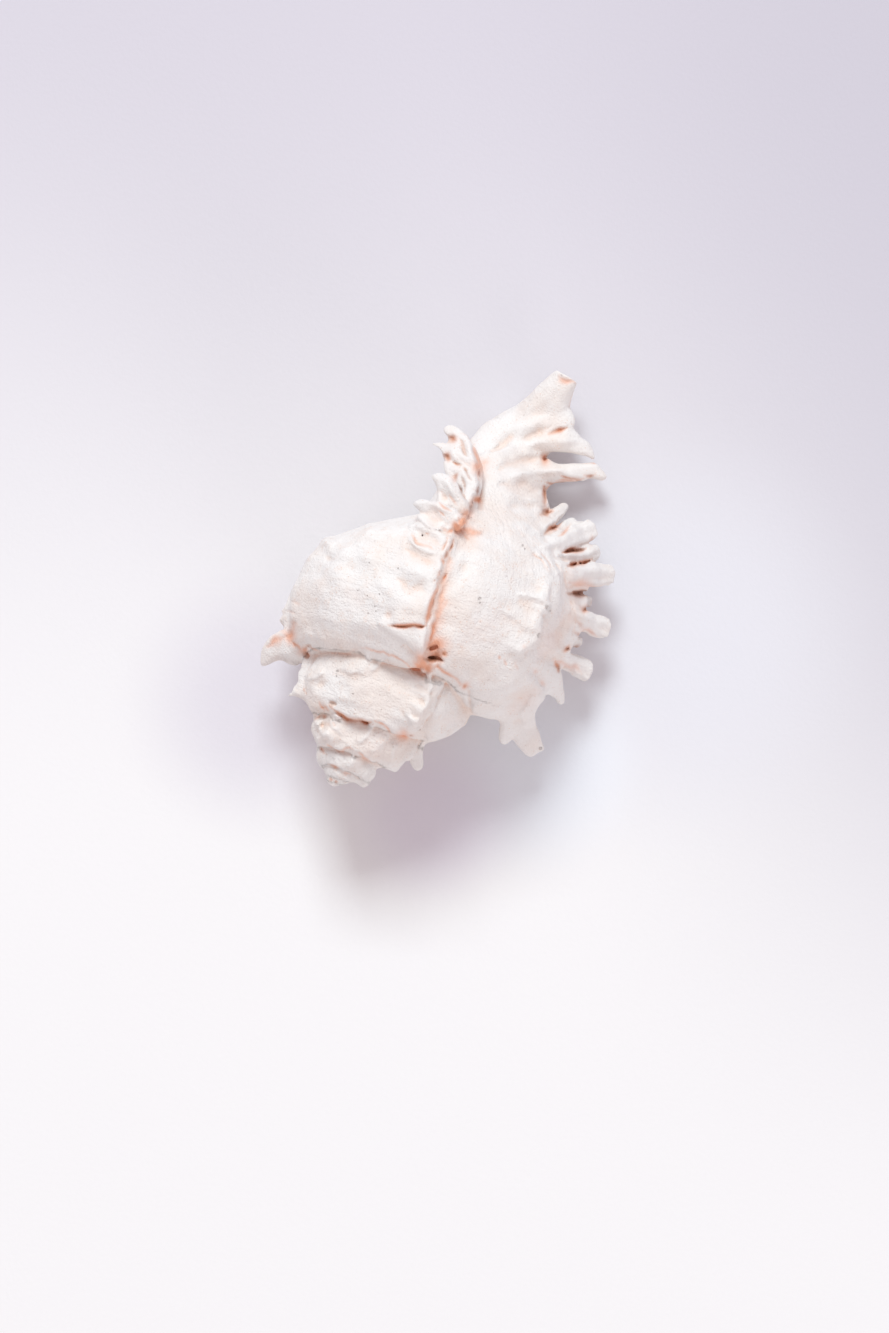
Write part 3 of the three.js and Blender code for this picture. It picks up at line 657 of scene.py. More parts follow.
# the hollow's steps up into the whorl: turn, radius, drop, half width and half length as shares
HOLLOW = [(0.02, 0.6, 0.6, 0.3, 0.46), (-0.08, 0.61, 0.6, 0.27, 0.4), (-0.18, 0.63, 0.6, 0.23, 0.33),
          (-0.28, 0.66, 0.6, 0.18, 0.24), (-0.36, 0.68, 0.6, 0.1, 0.13)]

mouth_along = np.array([-math.sin(MOUTH_TURN), math.cos(MOUTH_TURN), 0])
mouth_across = np.array([math.cos(MOUTH_TURN) * math.cos(MOUTH_LEAN),
                         math.sin(MOUTH_TURN) * math.cos(MOUTH_LEAN), -math.sin(MOUTH_LEAN)])
mouth_out = np.cross(mouth_along, mouth_across)


def outward(turn):
    angle = math.pi + turn * 2 * math.pi
    return LEFT * math.cos(angle) + UP * math.sin(angle)


def mouth_oval(step, wall):
    """A section of the hollow at one of its steps, or of the wall that thick round it."""
    turn, radius, drop, across, along = step
    size = radius_at(turn)
    return oval(coil_point(turn, radius * size, drop_at(turn) + drop * size),
                outward(turn) * (across * size + wall), AXIS * (along * size + wall))


canal = loft([oval(row[:3], (row[3], 0, 0), (0, 0, row[4]), power=2.5) for row in between(CANAL, 90)])
old_canal = loft([oval(row[:3], (0.8 * row[3], 0.6 * row[3], 0), (0, 0, row[4]))
                  for row in between(OLD_CANAL, 30)])
lip = loft([oval(MOUTH, mouth_across * (MOUTH_HALF_WIDTH + LIP_WALL),
                 mouth_along * (MOUTH_HALF_LENGTH + LIP_WALL))]
           + [mouth_oval(step, LIP_WALL * 0.6) for step in HOLLOW[:2]])
# the hollow opens out below the mouth, so that its cut leaves no skin there
hollow = loft([oval(MOUTH + mouth_out * 9, mouth_across * MOUTH_HALF_WIDTH * 1.12,
                    mouth_along * MOUTH_HALF_LENGTH * 1.08),
               oval(MOUTH - mouth_out * 3, mouth_across * MOUTH_HALF_WIDTH, mouth_along * MOUTH_HALF_LENGTH)]
              + [mouth_oval(step, 0) for step in HOLLOW])
rim_rings = []
for angle in np.linspace(0, 2 * math.pi, RIM_STEPS, endpoint=False):
    teeth = 1 + TOOTH_HEIGHT * math.cos(TEETH * angle) * eased(math.cos(angle) * 1.5)
    reach = (mouth_across * math.cos(angle) * (MOUTH_HALF_WIDTH + RIM / 2)
             + mouth_along * math.sin(angle) * (MOUTH_HALF_LENGTH + RIM / 2))
    rim_rings.append(oval(MOUTH + reach, reach / np.linalg.norm(reach) * RIM / 2 * teeth,
                          mouth_out * RIM * RIM_HEIGHT * teeth, 24))
rim = loft(rim_rings, ring=True)
slit = loft([[(x - SLIT_HALF, y, SLIT_FOOT), (x + SLIT_HALF, y, SLIT_FOOT), (x + SLIT_HALF, y, z),
              (x - SLIT_HALF, y, z)] for x, y, z in between(SLIT, 60)])
print("canal", CANAL[0][1], "to", CANAL[-1][1], "mm from the spire's tip")

# %% [markdown]
# ## One grown body
#
# A shell has no joints: every frond flows out of the wall that it grew from. Booleans would leave hard
# edges there. So each body is turned into a level set, a grid that holds the distance to its surface, and
# the grids are joined with a soft minimum, which leaves a fillet of the chosen size. The same grids take
# the hollows away, and tell later how sheltered each spot is, which is where dirt and colour stay and where
# shade is painted.

# %% Level sets
VOXEL = 0.34
LOW, HIGH = np.array([-34.0, -6.0, -4.0]), np.array([44.5, 110.0, 62.0])
CELLS = tuple(int(n) for n in np.ceil((HIGH - LOW) / VOXEL))
BAND = 8
FAR = BAND * VOXEL

to_plan = openvdb.createLinearTransform(voxelSize=VOXEL)
to_plan.postTranslate(tuple(LOW))
field = np.full(CELLS, FAR, dtype=np.float32)


def distances(body):
    """The level set of a closed body, as numbers in its own part of the grid."""
    points, corners = body
    grid = openvdb.FloatGrid.createLevelSetFromPolygons(
        np.ascontiguousarray(points, dtype=np.float32),
        triangles=np.ascontiguousarray(corners, dtype=np.uint32), transform=to_plan, halfWidth=float(BAND))
    low, high = (np.array(v) for v in grid.evalActiveVoxelBoundingBox())
    low, high = np.maximum(low - 1, 0), np.minimum(high + 2, CELLS)
    values = np.full(tuple(high - low), FAR, dtype=np.float32)
    grid.copyToArray(values, ijk=tuple(int(v) for v in low))
    return tuple(slice(a, b) for a, b in zip(low, high)), values


def soft_least(a, b, blend):
    """The lesser of two distances, with a fillet where they meet."""
    if blend <= 0:
        return np.minimum(a, b)
    near = np.maximum(blend - np.abs(a - b), 0) / blend
    return np.minimum(a, b) - near * near * blend / 4


def add(body, blend=0.0):
    where, values = distances(body)
    field[where] = soft_least(field[where], values, blend)


def take(body, blend=0.0):
    where, values = distances(body)
    field[where] = -soft_least(-field[where], values, blend)


# bodies, and how wide the fillet is that joins them, in millimetres
JOINS = [(coil_pieces, 0.0), ([canal], 4.0), ([old_canal, lip, rim], 1.5), (crests, 0.7), (lip_horns, 0.9),
         (older_horns, 1.4)]
for bodies, blend in JOINS:
    for body in bodies:
        add(body, blend)
print("grid of", CELLS, "cells,", round(float((field < 0).sum()) * VOXEL ** 3 / 1000, 1), "cm3 of shell")

# %% [markdown]
# ## Lobes with a shape of their own
#
# Some outgrowths are alike in nothing: the wide web at the foot of the lip, the beaks and folded scales of
# the middle varix, the fan of the canal. Each is drawn by its outline from above, with the height of its
# middle at its foot, halfway and at its end, and its thickness. The distance to such a lobe is easy to
# write down: it is the rounded meeting of an outline's wall and a sloping slab. So it goes straight into
# the grid, without a mesh.

# %% Lobes
def closed_curve(places, steps=4):
    """A smooth closed line through the places."""
    ring = np.array(places, dtype=float)
    a, b, c, d = (np.roll(ring, k, axis=0)[:, None, :] for k in (1, 0, -1, -2))
    return curved(a, b, c, d, np.linspace(0, 1, steps, endpoint=False)[None, :, None]).reshape(-1, 2)


ENDLESS = 1e9


def outline_distance(x, y, ring):
    """How far places lie from a closed line, below zero inside it."""
    least, inside = np.full(x.shape, ENDLESS), np.zeros(x.shape, dtype=bool)
    for (ax, ay), (bx, by) in zip(ring, np.roll(ring, -1, axis=0)):
        dx, dy = bx - ax, by - ay
        share = np.clip(((x - ax) * dx + (y - ay) * dy) / (dx * dx + dy * dy + 1e-12), 0, 1)
        least = np.minimum(least, (x - ax - share * dx) ** 2 + (y - ay - share * dy) ** 2)
        if dy:
            inside ^= ((ay > y) != (by > y)) & (x < dx * (y - ay) / dy + ax)
    return np.where(inside, -1, 1) * np.sqrt(least)


def part_of_grid(low, high, spare):
    """The cells between two corners and some to spare, as slices, and their places on each axis."""
    first = np.clip(((low - LOW) / VOXEL).astype(int), 0, CELLS)
    last = np.clip(((high - LOW) / VOXEL).astype(int) + spare, 0, CELLS)
    return (tuple(slice(a, b) for a, b in zip(first, last)),
            [start + np.arange(a, b) * VOXEL for a, b, start in zip(first, last, LOW)])


def add_lobe(outline, path, thick, ridge=0.0, pitch=1.6, gutter=0.4, blend=1.0):
    """Joins a lobe: its outline from above, its middle at foot, halfway and end, and its thickness."""
    ring = closed_curve(outline)
    (fx, fy, fz), (_, _, mz), (ex, ey, ez) = path
    margin = 2.5 + blend
    low = np.array([*(ring.min(0) - margin), min(fz, mz, ez) - max(thick) - margin])
    high = np.array([*(ring.max(0) + margin), max(fz, mz, ez) + max(thick) + margin])
    where, (x, y, z) = part_of_grid(low, high, 1)
    x, y = np.meshgrid(x, y, indexing="ij")
    length = math.hypot(ex - fx, ey - fy)
    share = np.clip(((x - fx) * (ex - fx) + (y - fy) * (ey - fy)) / length ** 2, 0, 1)
    across = ((x - fx) * (ey - fy) - (y - fy) * (ex - fx)) / length
    middle = fz * (1 - share) * (1 - 2 * share) + mz * 4 * share * (1 - share) + ez * share * (2 * share - 1)
    slope = (fz * (4 * share - 3) + mz * (4 - 8 * share) + ez * (4 * share - 1)) / length
    half = 0.5 * (thick[0] + (thick[1] - thick[0]) * share)
    wall = outline_distance(x, y, ring)
    top = half + ridge * np.cos(across * 2 * math.pi / pitch) * np.clip(-wall, 0, 1)
    bottom = half * (1 - gutter * np.clip(-wall / 2.2, 0, 1))
    rise = z[None, None, :] - middle[:, :, None]
    steep = np.sqrt(1 + slope ** 2)[:, :, None]
    slab = np.maximum(rise - top[:, :, None], -rise - bottom[:, :, None]) / steep
    rounding = 0.8 * half[:, :, None]
    a, b = wall[:, :, None] + rounding, slab + rounding
    lobe = np.sqrt(np.maximum(a, 0) ** 2 + np.maximum(b, 0) ** 2) + np.minimum(np.maximum(a, b), 0) - rounding
    field[where] = soft_least(field[where], lobe.astype(np.float32), blend)

# %% Web, canal fan and older lobes
# outline, middle at foot, halfway and end, thickness at foot and end, and what differs
LOBES = [
    # the wide web at the foot of the lip, and the flap beside it
    ([(18, 30.4), (21.5, 30.4), (24.2, 30.7), (25.4, 30.1), (26.2, 29), (26.9, 27.7), (27.7, 26.7),
     (28.7, 26.6), (29.3, 27.5), (29.9, 28.6), (31, 28), (32.5, 27.4), (34, 26.7), (35.4, 26.7), (36.3, 27.6),
     (36.7, 28.7), (37.5, 29.6), (37.1, 30.6), (36, 31.4), (34, 33.1), (32.5, 34.9), (31.4, 36.6),
     (30.9, 38.4), (31, 40.6), (27, 43), (22, 40), (18, 35)], ((23, 37, 34), (30, 32.6, 20),
     (36.6, 28.4, 11.5)), (5, 3.6), dict(ridge=0.16, pitch=3, blend=2)),
    ([(26, 47.5), (31.6, 46.6), (32.5, 46.2), (33.2, 45.3), (34, 44.2), (34.9, 43.3), (35.6, 42.2),
     (35.9, 41.2), (35.1, 40.6), (33.6, 40.9), (32, 40.8), (30.8, 40.2), (27, 38.5), (24, 43)],
     ((26, 43.4, 33), (31, 42.6, 20), (35.6, 41.4, 11.5)), (5, 2.6), dict(ridge=0.12, pitch=2.6, blend=1.6)),
    # the fan of the canal: two long fronds and a short one
    ([(-4, 84), (0, 86.6), (4.4, 88.8), (6.2, 89.7), (8.5, 90.6), (11, 91.3), (13.5, 92), (14.9, 92.4),
     (13.8, 93.7), (12, 94.7), (10, 94.9), (8.5, 95.4), (6, 95.3), (3.5, 95), (0, 93.6), (-4, 90)],
     ((-3, 86, 10.2), (5, 91.4, 9.4), (14.8, 93.2, 7.4)), (7, 3), dict(ridge=0.1, pitch=2.4, blend=1.4)),
    ([(-2, 78), (2, 83.6), (5.2, 86.4), (8, 87), (10, 88.2), (12, 89.6), (14, 90.9), (15.8, 91.6),
     (16.8, 91.3), (19, 90.3), (18.9, 89.2), (16.5, 88.2), (14.5, 86.6), (12, 84.5), (10, 83.1), (8.8, 81.4),
     (8, 79), (5, 76)], ((1, 79, 13.4), (9, 85.2, 10), (18.6, 90.2, 7.2)), (7.4, 3.4),
     dict(ridge=0.12, pitch=2, blend=1.6)),
    ([(-3, 90), (-1, 94), (2, 97), (4.4, 98.9), (5.8, 98.5), (6.8, 97.2), (6.6, 95.6), (5.8, 94), (4, 92.6),
     (0, 90.5)], ((-1, 92, 9), (2.8, 94.8, 9), (6.4, 97.4, 9)), (5.4, 3.2), dict(blend=1.2)),
    # the left rear varix: a heavy horn, and frilled bumps above it
    ([(-19.4, 26), (-22, 25.4), (-25.2, 26), (-27, 24.9), (-27.8, 23.4), (-28.6, 22), (-28.8, 20),
     (-28.4, 18), (-27.9, 16.4), (-27, 15.3), (-26, 16.3), (-24.9, 17.9), (-23.6, 18.7), (-22, 18.5),
     (-20.3, 18.8), (-19.4, 20), (-17.5, 23)], ((-19, 25, 27), (-24.5, 21.6, 22.5), (-27.4, 16, 17.5)),
     (8, 3), dict(blend=1.6)),
    ([(-24, 37), (-27.6, 34), (-27.3, 32.4), (-27.8, 31.2), (-28.4, 30.2), (-27.9, 29), (-28.7, 27.6),
     (-29.2, 26.1), (-28, 25.2), (-26.2, 25.6), (-24.5, 27), (-22.5, 31)], ((-22.5, 32, 28), (-26, 29.6, 22),
     (-29, 27, 17)), (7, 3), dict(blend=1.2)),
    # the sharp edge of the plate beside the penultimate whorl
    ([(12, 31.6), (17.2, 31.2), (18.6, 29.9), (18.9, 28.2), (18.95, 25.3), (17.2, 22.4), (15.3, 20), (13, 19),
     (11, 24)], ((11, 26, 38), (15.4, 26, 33), (18.9, 26.4, 27.5)), (3.4, 1.6), dict(blend=1.2, gutter=0)),
]
for outline, path, thick, sizes in LOBES:
    add_lobe(outline, path, thick, **sizes)
print(len(LOBES), "lobes of the lip, the canal and the older varices")

# %% Middle varix
VARIX_LOBES = [
    # the shoulder's pointed flap
    ([(2.4, 42.6), (-1, 42.4), (-4, 41.6), (-6.4, 39.9), (-7.2, 38.4), (-8.6, 36.5), (-8, 36.05), (-5, 36.1),
     (-1, 35.6), (3, 35.4)], ((2, 38.6, 52.2), (-3, 38, 53.6), (-8.4, 36.4, 53.4)), (4.6, 1.6),
     dict(blend=0.9, gutter=0)),
    # three folded lobes, like beaks, that end in points at the left
    ([(-3.6, 55), (-7.6, 54.8), (-11.2, 55.3), (-12.9, 56.2), (-13.1, 57.6), (-12.4, 59.3), (-11.6, 60.3),
     (-9, 60.5), (-6, 60.6), (-3.6, 60)], ((-3, 57.6, 48.4), (-8, 57.6, 48.4), (-13, 57.4, 45)), (4.4, 2.6),
     dict(blend=0.7)),
    ([(-3.6, 61), (-5.5, 60.1), (-7, 59.7), (-10, 59.7), (-11.8, 60.2), (-12.4, 61.4), (-13.1, 62.5),
     (-14.7, 63), (-14.8, 63.6), (-13.8, 64.8), (-12, 65.3), (-9, 65.7), (-7, 66.3), (-5.4, 66.1),
     (-3.6, 64.6)], ((-3.6, 63, 45.6), (-9.6, 63, 46), (-15.3, 63.5, 42.6)), (4.6, 1.8), dict(blend=0.6)),
    ([(-3.4, 66.8), (-6.5, 65.3), (-8.5, 65.1), (-10.2, 65.3), (-11, 66.8), (-11.9, 68.4), (-13, 69.5),
     (-14.6, 70.3), (-14.6, 71), (-13.2, 72), (-11, 72.1), (-9, 71.4), (-7, 70.4), (-4.4, 69)],
     ((-3.6, 67.4, 39.8), (-9.4, 68.4, 40.4), (-15, 70.6, 37)), (4.6, 1.8), dict(blend=0.6)),
    # the old canal: folded scales that lie on each other like petals, on one solid foot
    ([(-3, 69), (-4.6, 74), (-5.4, 76.6), (-6.6, 78.2), (-8.4, 79.8), (-10.6, 81.2), (-13, 82.2),
     (-15.6, 82.4), (-16.6, 81), (-15.4, 79.2), (-16.4, 77.6), (-15, 75.4), (-13, 74), (-11, 72.4), (-8, 70)],
     ((-4.4, 71.6, 34.6), (-10, 77, 31), (-16.6, 80.2, 26.6)), (7, 4.4), dict(blend=0.8, gutter=0)),
    ([(-3.4, 70), (-6.6, 70.6), (-9, 71.2), (-11.4, 71.8), (-12.4, 72.4), (-13.4, 73.4), (-14.5, 74.8),
     (-13, 75.9), (-10.5, 75.9), (-8, 75.3), (-5, 74.4)], ((-4, 71.6, 36.4), (-8.6, 73, 35),
     (-14.2, 74.6, 31)), (4, 1.6), dict(blend=0.5)),
    ([(-4.6, 73), (-8.6, 74.4), (-10.6, 75.2), (-12.6, 75.6), (-14.6, 75.4), (-16.2, 76.3), (-18.3, 76.4),
     (-18.7, 77.4), (-16.8, 78.6), (-14.6, 79.6), (-12, 79.4), (-9.5, 78.2), (-6, 76.4)], ((-5.4, 74.6, 34),
     (-11, 76.6, 32.2), (-18.3, 77, 28)), (4, 1.6), dict(blend=0.5)),
    ([(-4.2, 73.4), (-5.2, 75.6), (-6.2, 77), (-7.6, 78.7), (-9, 80.2), (-10.5, 81.6), (-12, 82.5),
     (-13.6, 82.9), (-15.7, 83.1), (-17.2, 82.3), (-17.6, 81), (-16.4, 80.2), (-14.5, 80.1), (-12.5, 79.4),
     (-10.5, 78.3), (-9, 77), (-7.6, 75.2), (-6.2, 73.6)], ((-5, 74.4, 33.6), (-10.4, 79.4, 31.4),
     (-16.8, 82, 27)), (4, 1.8), dict(blend=0.5)),
    ([(-3.8, 71.4), (-5.4, 70.4), (-7.4, 71.8), (-8.6, 73.4), (-7.6, 74.6), (-6, 74.2), (-4.6, 73.4)],
     ((-4.4, 71.6, 37.2), (-6.2, 72.6, 36.8), (-8.2, 73.8, 35.2)), (3, 1.4), dict(blend=0.4)),
    ([(-3.4, 69.4), (-5, 68.6), (-6.8, 69.8), (-7.8, 71.2), (-6.8, 72), (-5.2, 71.6), (-4, 70.8)],
     ((-4, 69.6, 38.8), (-5.6, 70.4, 38.4), (-7.4, 71.4, 37)), (3, 1.4), dict(blend=0.4)),
]
for outline, path, thick, sizes in VARIX_LOBES:
    add_lobe(outline, path, thick, **sizes)

# the spire's own outline: what the rule of the coil puts beyond it has worn or broken away
SPIRE_EDGE = [(-24, 24), (-20.2, 20), (-19.3, 19), (-19.6, 17.9), (-18.3, 16.4), (-18.4, 15), (-19.3, 13.6),
              (-19.1, 12.2), (-18.2, 12), (-16.6, 13.1), (-14.6, 13), (-13, 12.3), (-11.6, 11.5),
              (-10.4, 10.4), (-10.7, 9.4), (-10.2, 8), (-8.4, 6.9), (-7.2, 5.8), (-7.1, 4.6), (-6.4, 3.2),
              (-5.2, 2), (-3.2, 1.6), (-2, 0.2), (-0.9, -0.4), (0.5, -0.3), (1.5, 0.8), (2.6, 2), (3.6, 3),
              (5.6, 2.9), (6.5, 3.2), (6.8, 4.8), (6.6, 6.8), (6, 7.9), (7.4, 9), (9.4, 9.4), (10.8, 9.4),
              (11.2, 11), (11.5, 12.8), (13.2, 12), (15, 11.6), (16, 12.6), (15.4, 14.4), (14, 16.6),
              (13.4, 18), (15.2, 19.8), (17.2, 22.2), (19.2, 25.4), (19.3, 29), (24, 30), (30, 40), (0, 60),
              (-40, 40)]
# the spire is trimmed to its worn outline, within this part of the grid
SPIRE_LOW, SPIRE_HIGH = np.array([-19.6, -6, LOW[2]]), np.array([22, 26, HIGH[2]])
SPIRE_BLEND, HOLLOW_BLEND, SLIT_BLEND = 0.8, 1.2, 0.6
spire_cells, (spire_x, spire_y, _) = part_of_grid(SPIRE_LOW, SPIRE_HIGH, 0)
spire_cells = spire_cells[:2]
spire_x, spire_y = np.meshgrid(spire_x, spire_y, indexing="ij")
# the small cap at its tip
add_lobe([(-2.6, 2.6), (-1.8, 0.4), (-0.9, -0.4), (0.5, -0.3), (1.4, 0.8), (2.2, 2.6), (0, 4)],
         ((0, 4, 29), (-0.2, 1.6, 29.4), (-0.3, -0.4, 29.6)), (5, 3), blend=1.0)
beyond = outline_distance(spire_x, spire_y, closed_curve(SPIRE_EDGE, 2))[:, :, None].astype(np.float32)
field[spire_cells] = -soft_least(-field[spire_cells], -beyond, SPIRE_BLEND)
take(hollow, HOLLOW_BLEND)
take(slit, SLIT_BLEND)
print(len(VARIX_LOBES), "lobes of the middle varix")

# %% [markdown]
# ## Crevices, pits and the worn underside
#
# A worn shell is full of small hollows: the gap where the last whorl grew over the middle varix, holes
# between the fronds, and pits in the frills. They were seen from above, so the helpers below ask the grid
# how high the shell is over each spot, and how thick its uppermost layer is. A pit is carved along a row of
# places, each with a half width and a depth below the surface there.

# %% Carving
def blurred(values, cells):
    """The values after a Gaussian blur of that many cells."""
    reach = int(math.ceil(2.6 * cells))
    weights = np.exp(-0.5 * (np.arange(-reach, reach + 1) / cells) ** 2)
    weights /= weights.sum()
    for axis in range(values.ndim):
        total = np.zeros_like(values)
        for step, weight in zip(range(-reach, reach + 1), weights):
            source, target = [slice(None)] * values.ndim, [slice(None)] * values.ndim
            if step > 0:
                source[axis], target[axis] = slice(step, None), slice(None, -step)
            elif step < 0:
                source[axis], target[axis] = slice(None, step), slice(-step, None)
            total[tuple(target)] += np.float32(weight) * values[tuple(source)]
        values = total
    return values


def tops():
    """The height of the shell over every spot of the grid, seen from above."""
    inside = field < 0
    highest = CELLS[2] - 1 - np.argmax(inside[:, :, ::-1], axis=2)
    i, j = np.indices(highest.shape)
    above = np.minimum(highest + 1, CELLS[2] - 1)
    low, high = field[i, j, highest], field[i, j, above]
    share = np.clip(low / np.minimum(low - high, -1e-6), 0, 1)
    return np.where(inside.any(axis=2), LOW[2] + (highest + share) * VOXEL, 0.0)


def thickness():
    """How thick the shell's uppermost layer is over every spot."""
    outside = (field >= 0)[:, :, ::-1]
    first = np.argmin(outside, axis=2)
    below = outside & (np.arange(CELLS[2])[None, None, :] > first[:, :, None])
    last = np.where(below.any(axis=2), np.argmax(below, axis=2), CELLS[2])
    return (last - first) * VOXEL


def over(values, x, y):
    """The value of a map of the grid over a place given in millimetres."""
    i = np.clip(np.round((np.asarray(x) - LOW[0]) / VOXEL).astype(int), 0, CELLS[0] - 1)
    j = np.clip(np.round((np.asarray(y) - LOW[1]) / VOXEL).astype(int), 0, CELLS[1] - 1)
    return values[i, j]


def carve(rows, blend, heights):
    """Takes a round groove from the shell, along rows of (x, y, half width, depth below the surface)."""
    rows = [(x, y, float(over(heights, x, y)) - depth + width, width) for x, y, width, depth in rows]
    steps = max(2, int(sum(math.dist(a[:3], b[:3]) for a, b in zip(rows, rows[1:])) / (0.5 * VOXEL)))
    places = between(rows, steps) if len(rows) > 2 else np.linspace(rows[0], rows[-1], steps)
    margin = max(row[3] for row in rows) + blend + 2 * VOXEL
    low, high = places[:, :3].min(0) - margin, places[:, :3].max(0) + margin + (0, 0, 3)
    where, (x, y, z) = part_of_grid(low, high, 2)
    gap = np.full(field[where].shape, FAR, dtype=np.float32)
    for px, py, pz, radius in places:
        # a pit is open above, so places over its bottom count as level with it
        deep = np.minimum(z - pz, 0)[None, None, :]
        away = np.sqrt((x - px)[:, None, None] ** 2 + (y - py)[None, :, None] ** 2 + deep ** 2)
        gap = np.minimum(gap, away - radius)
    field[where] = -soft_least(-field[where], gap, blend)

print("the shell's top is at", round(float(tops().max()), 1), "mm before it is carved")
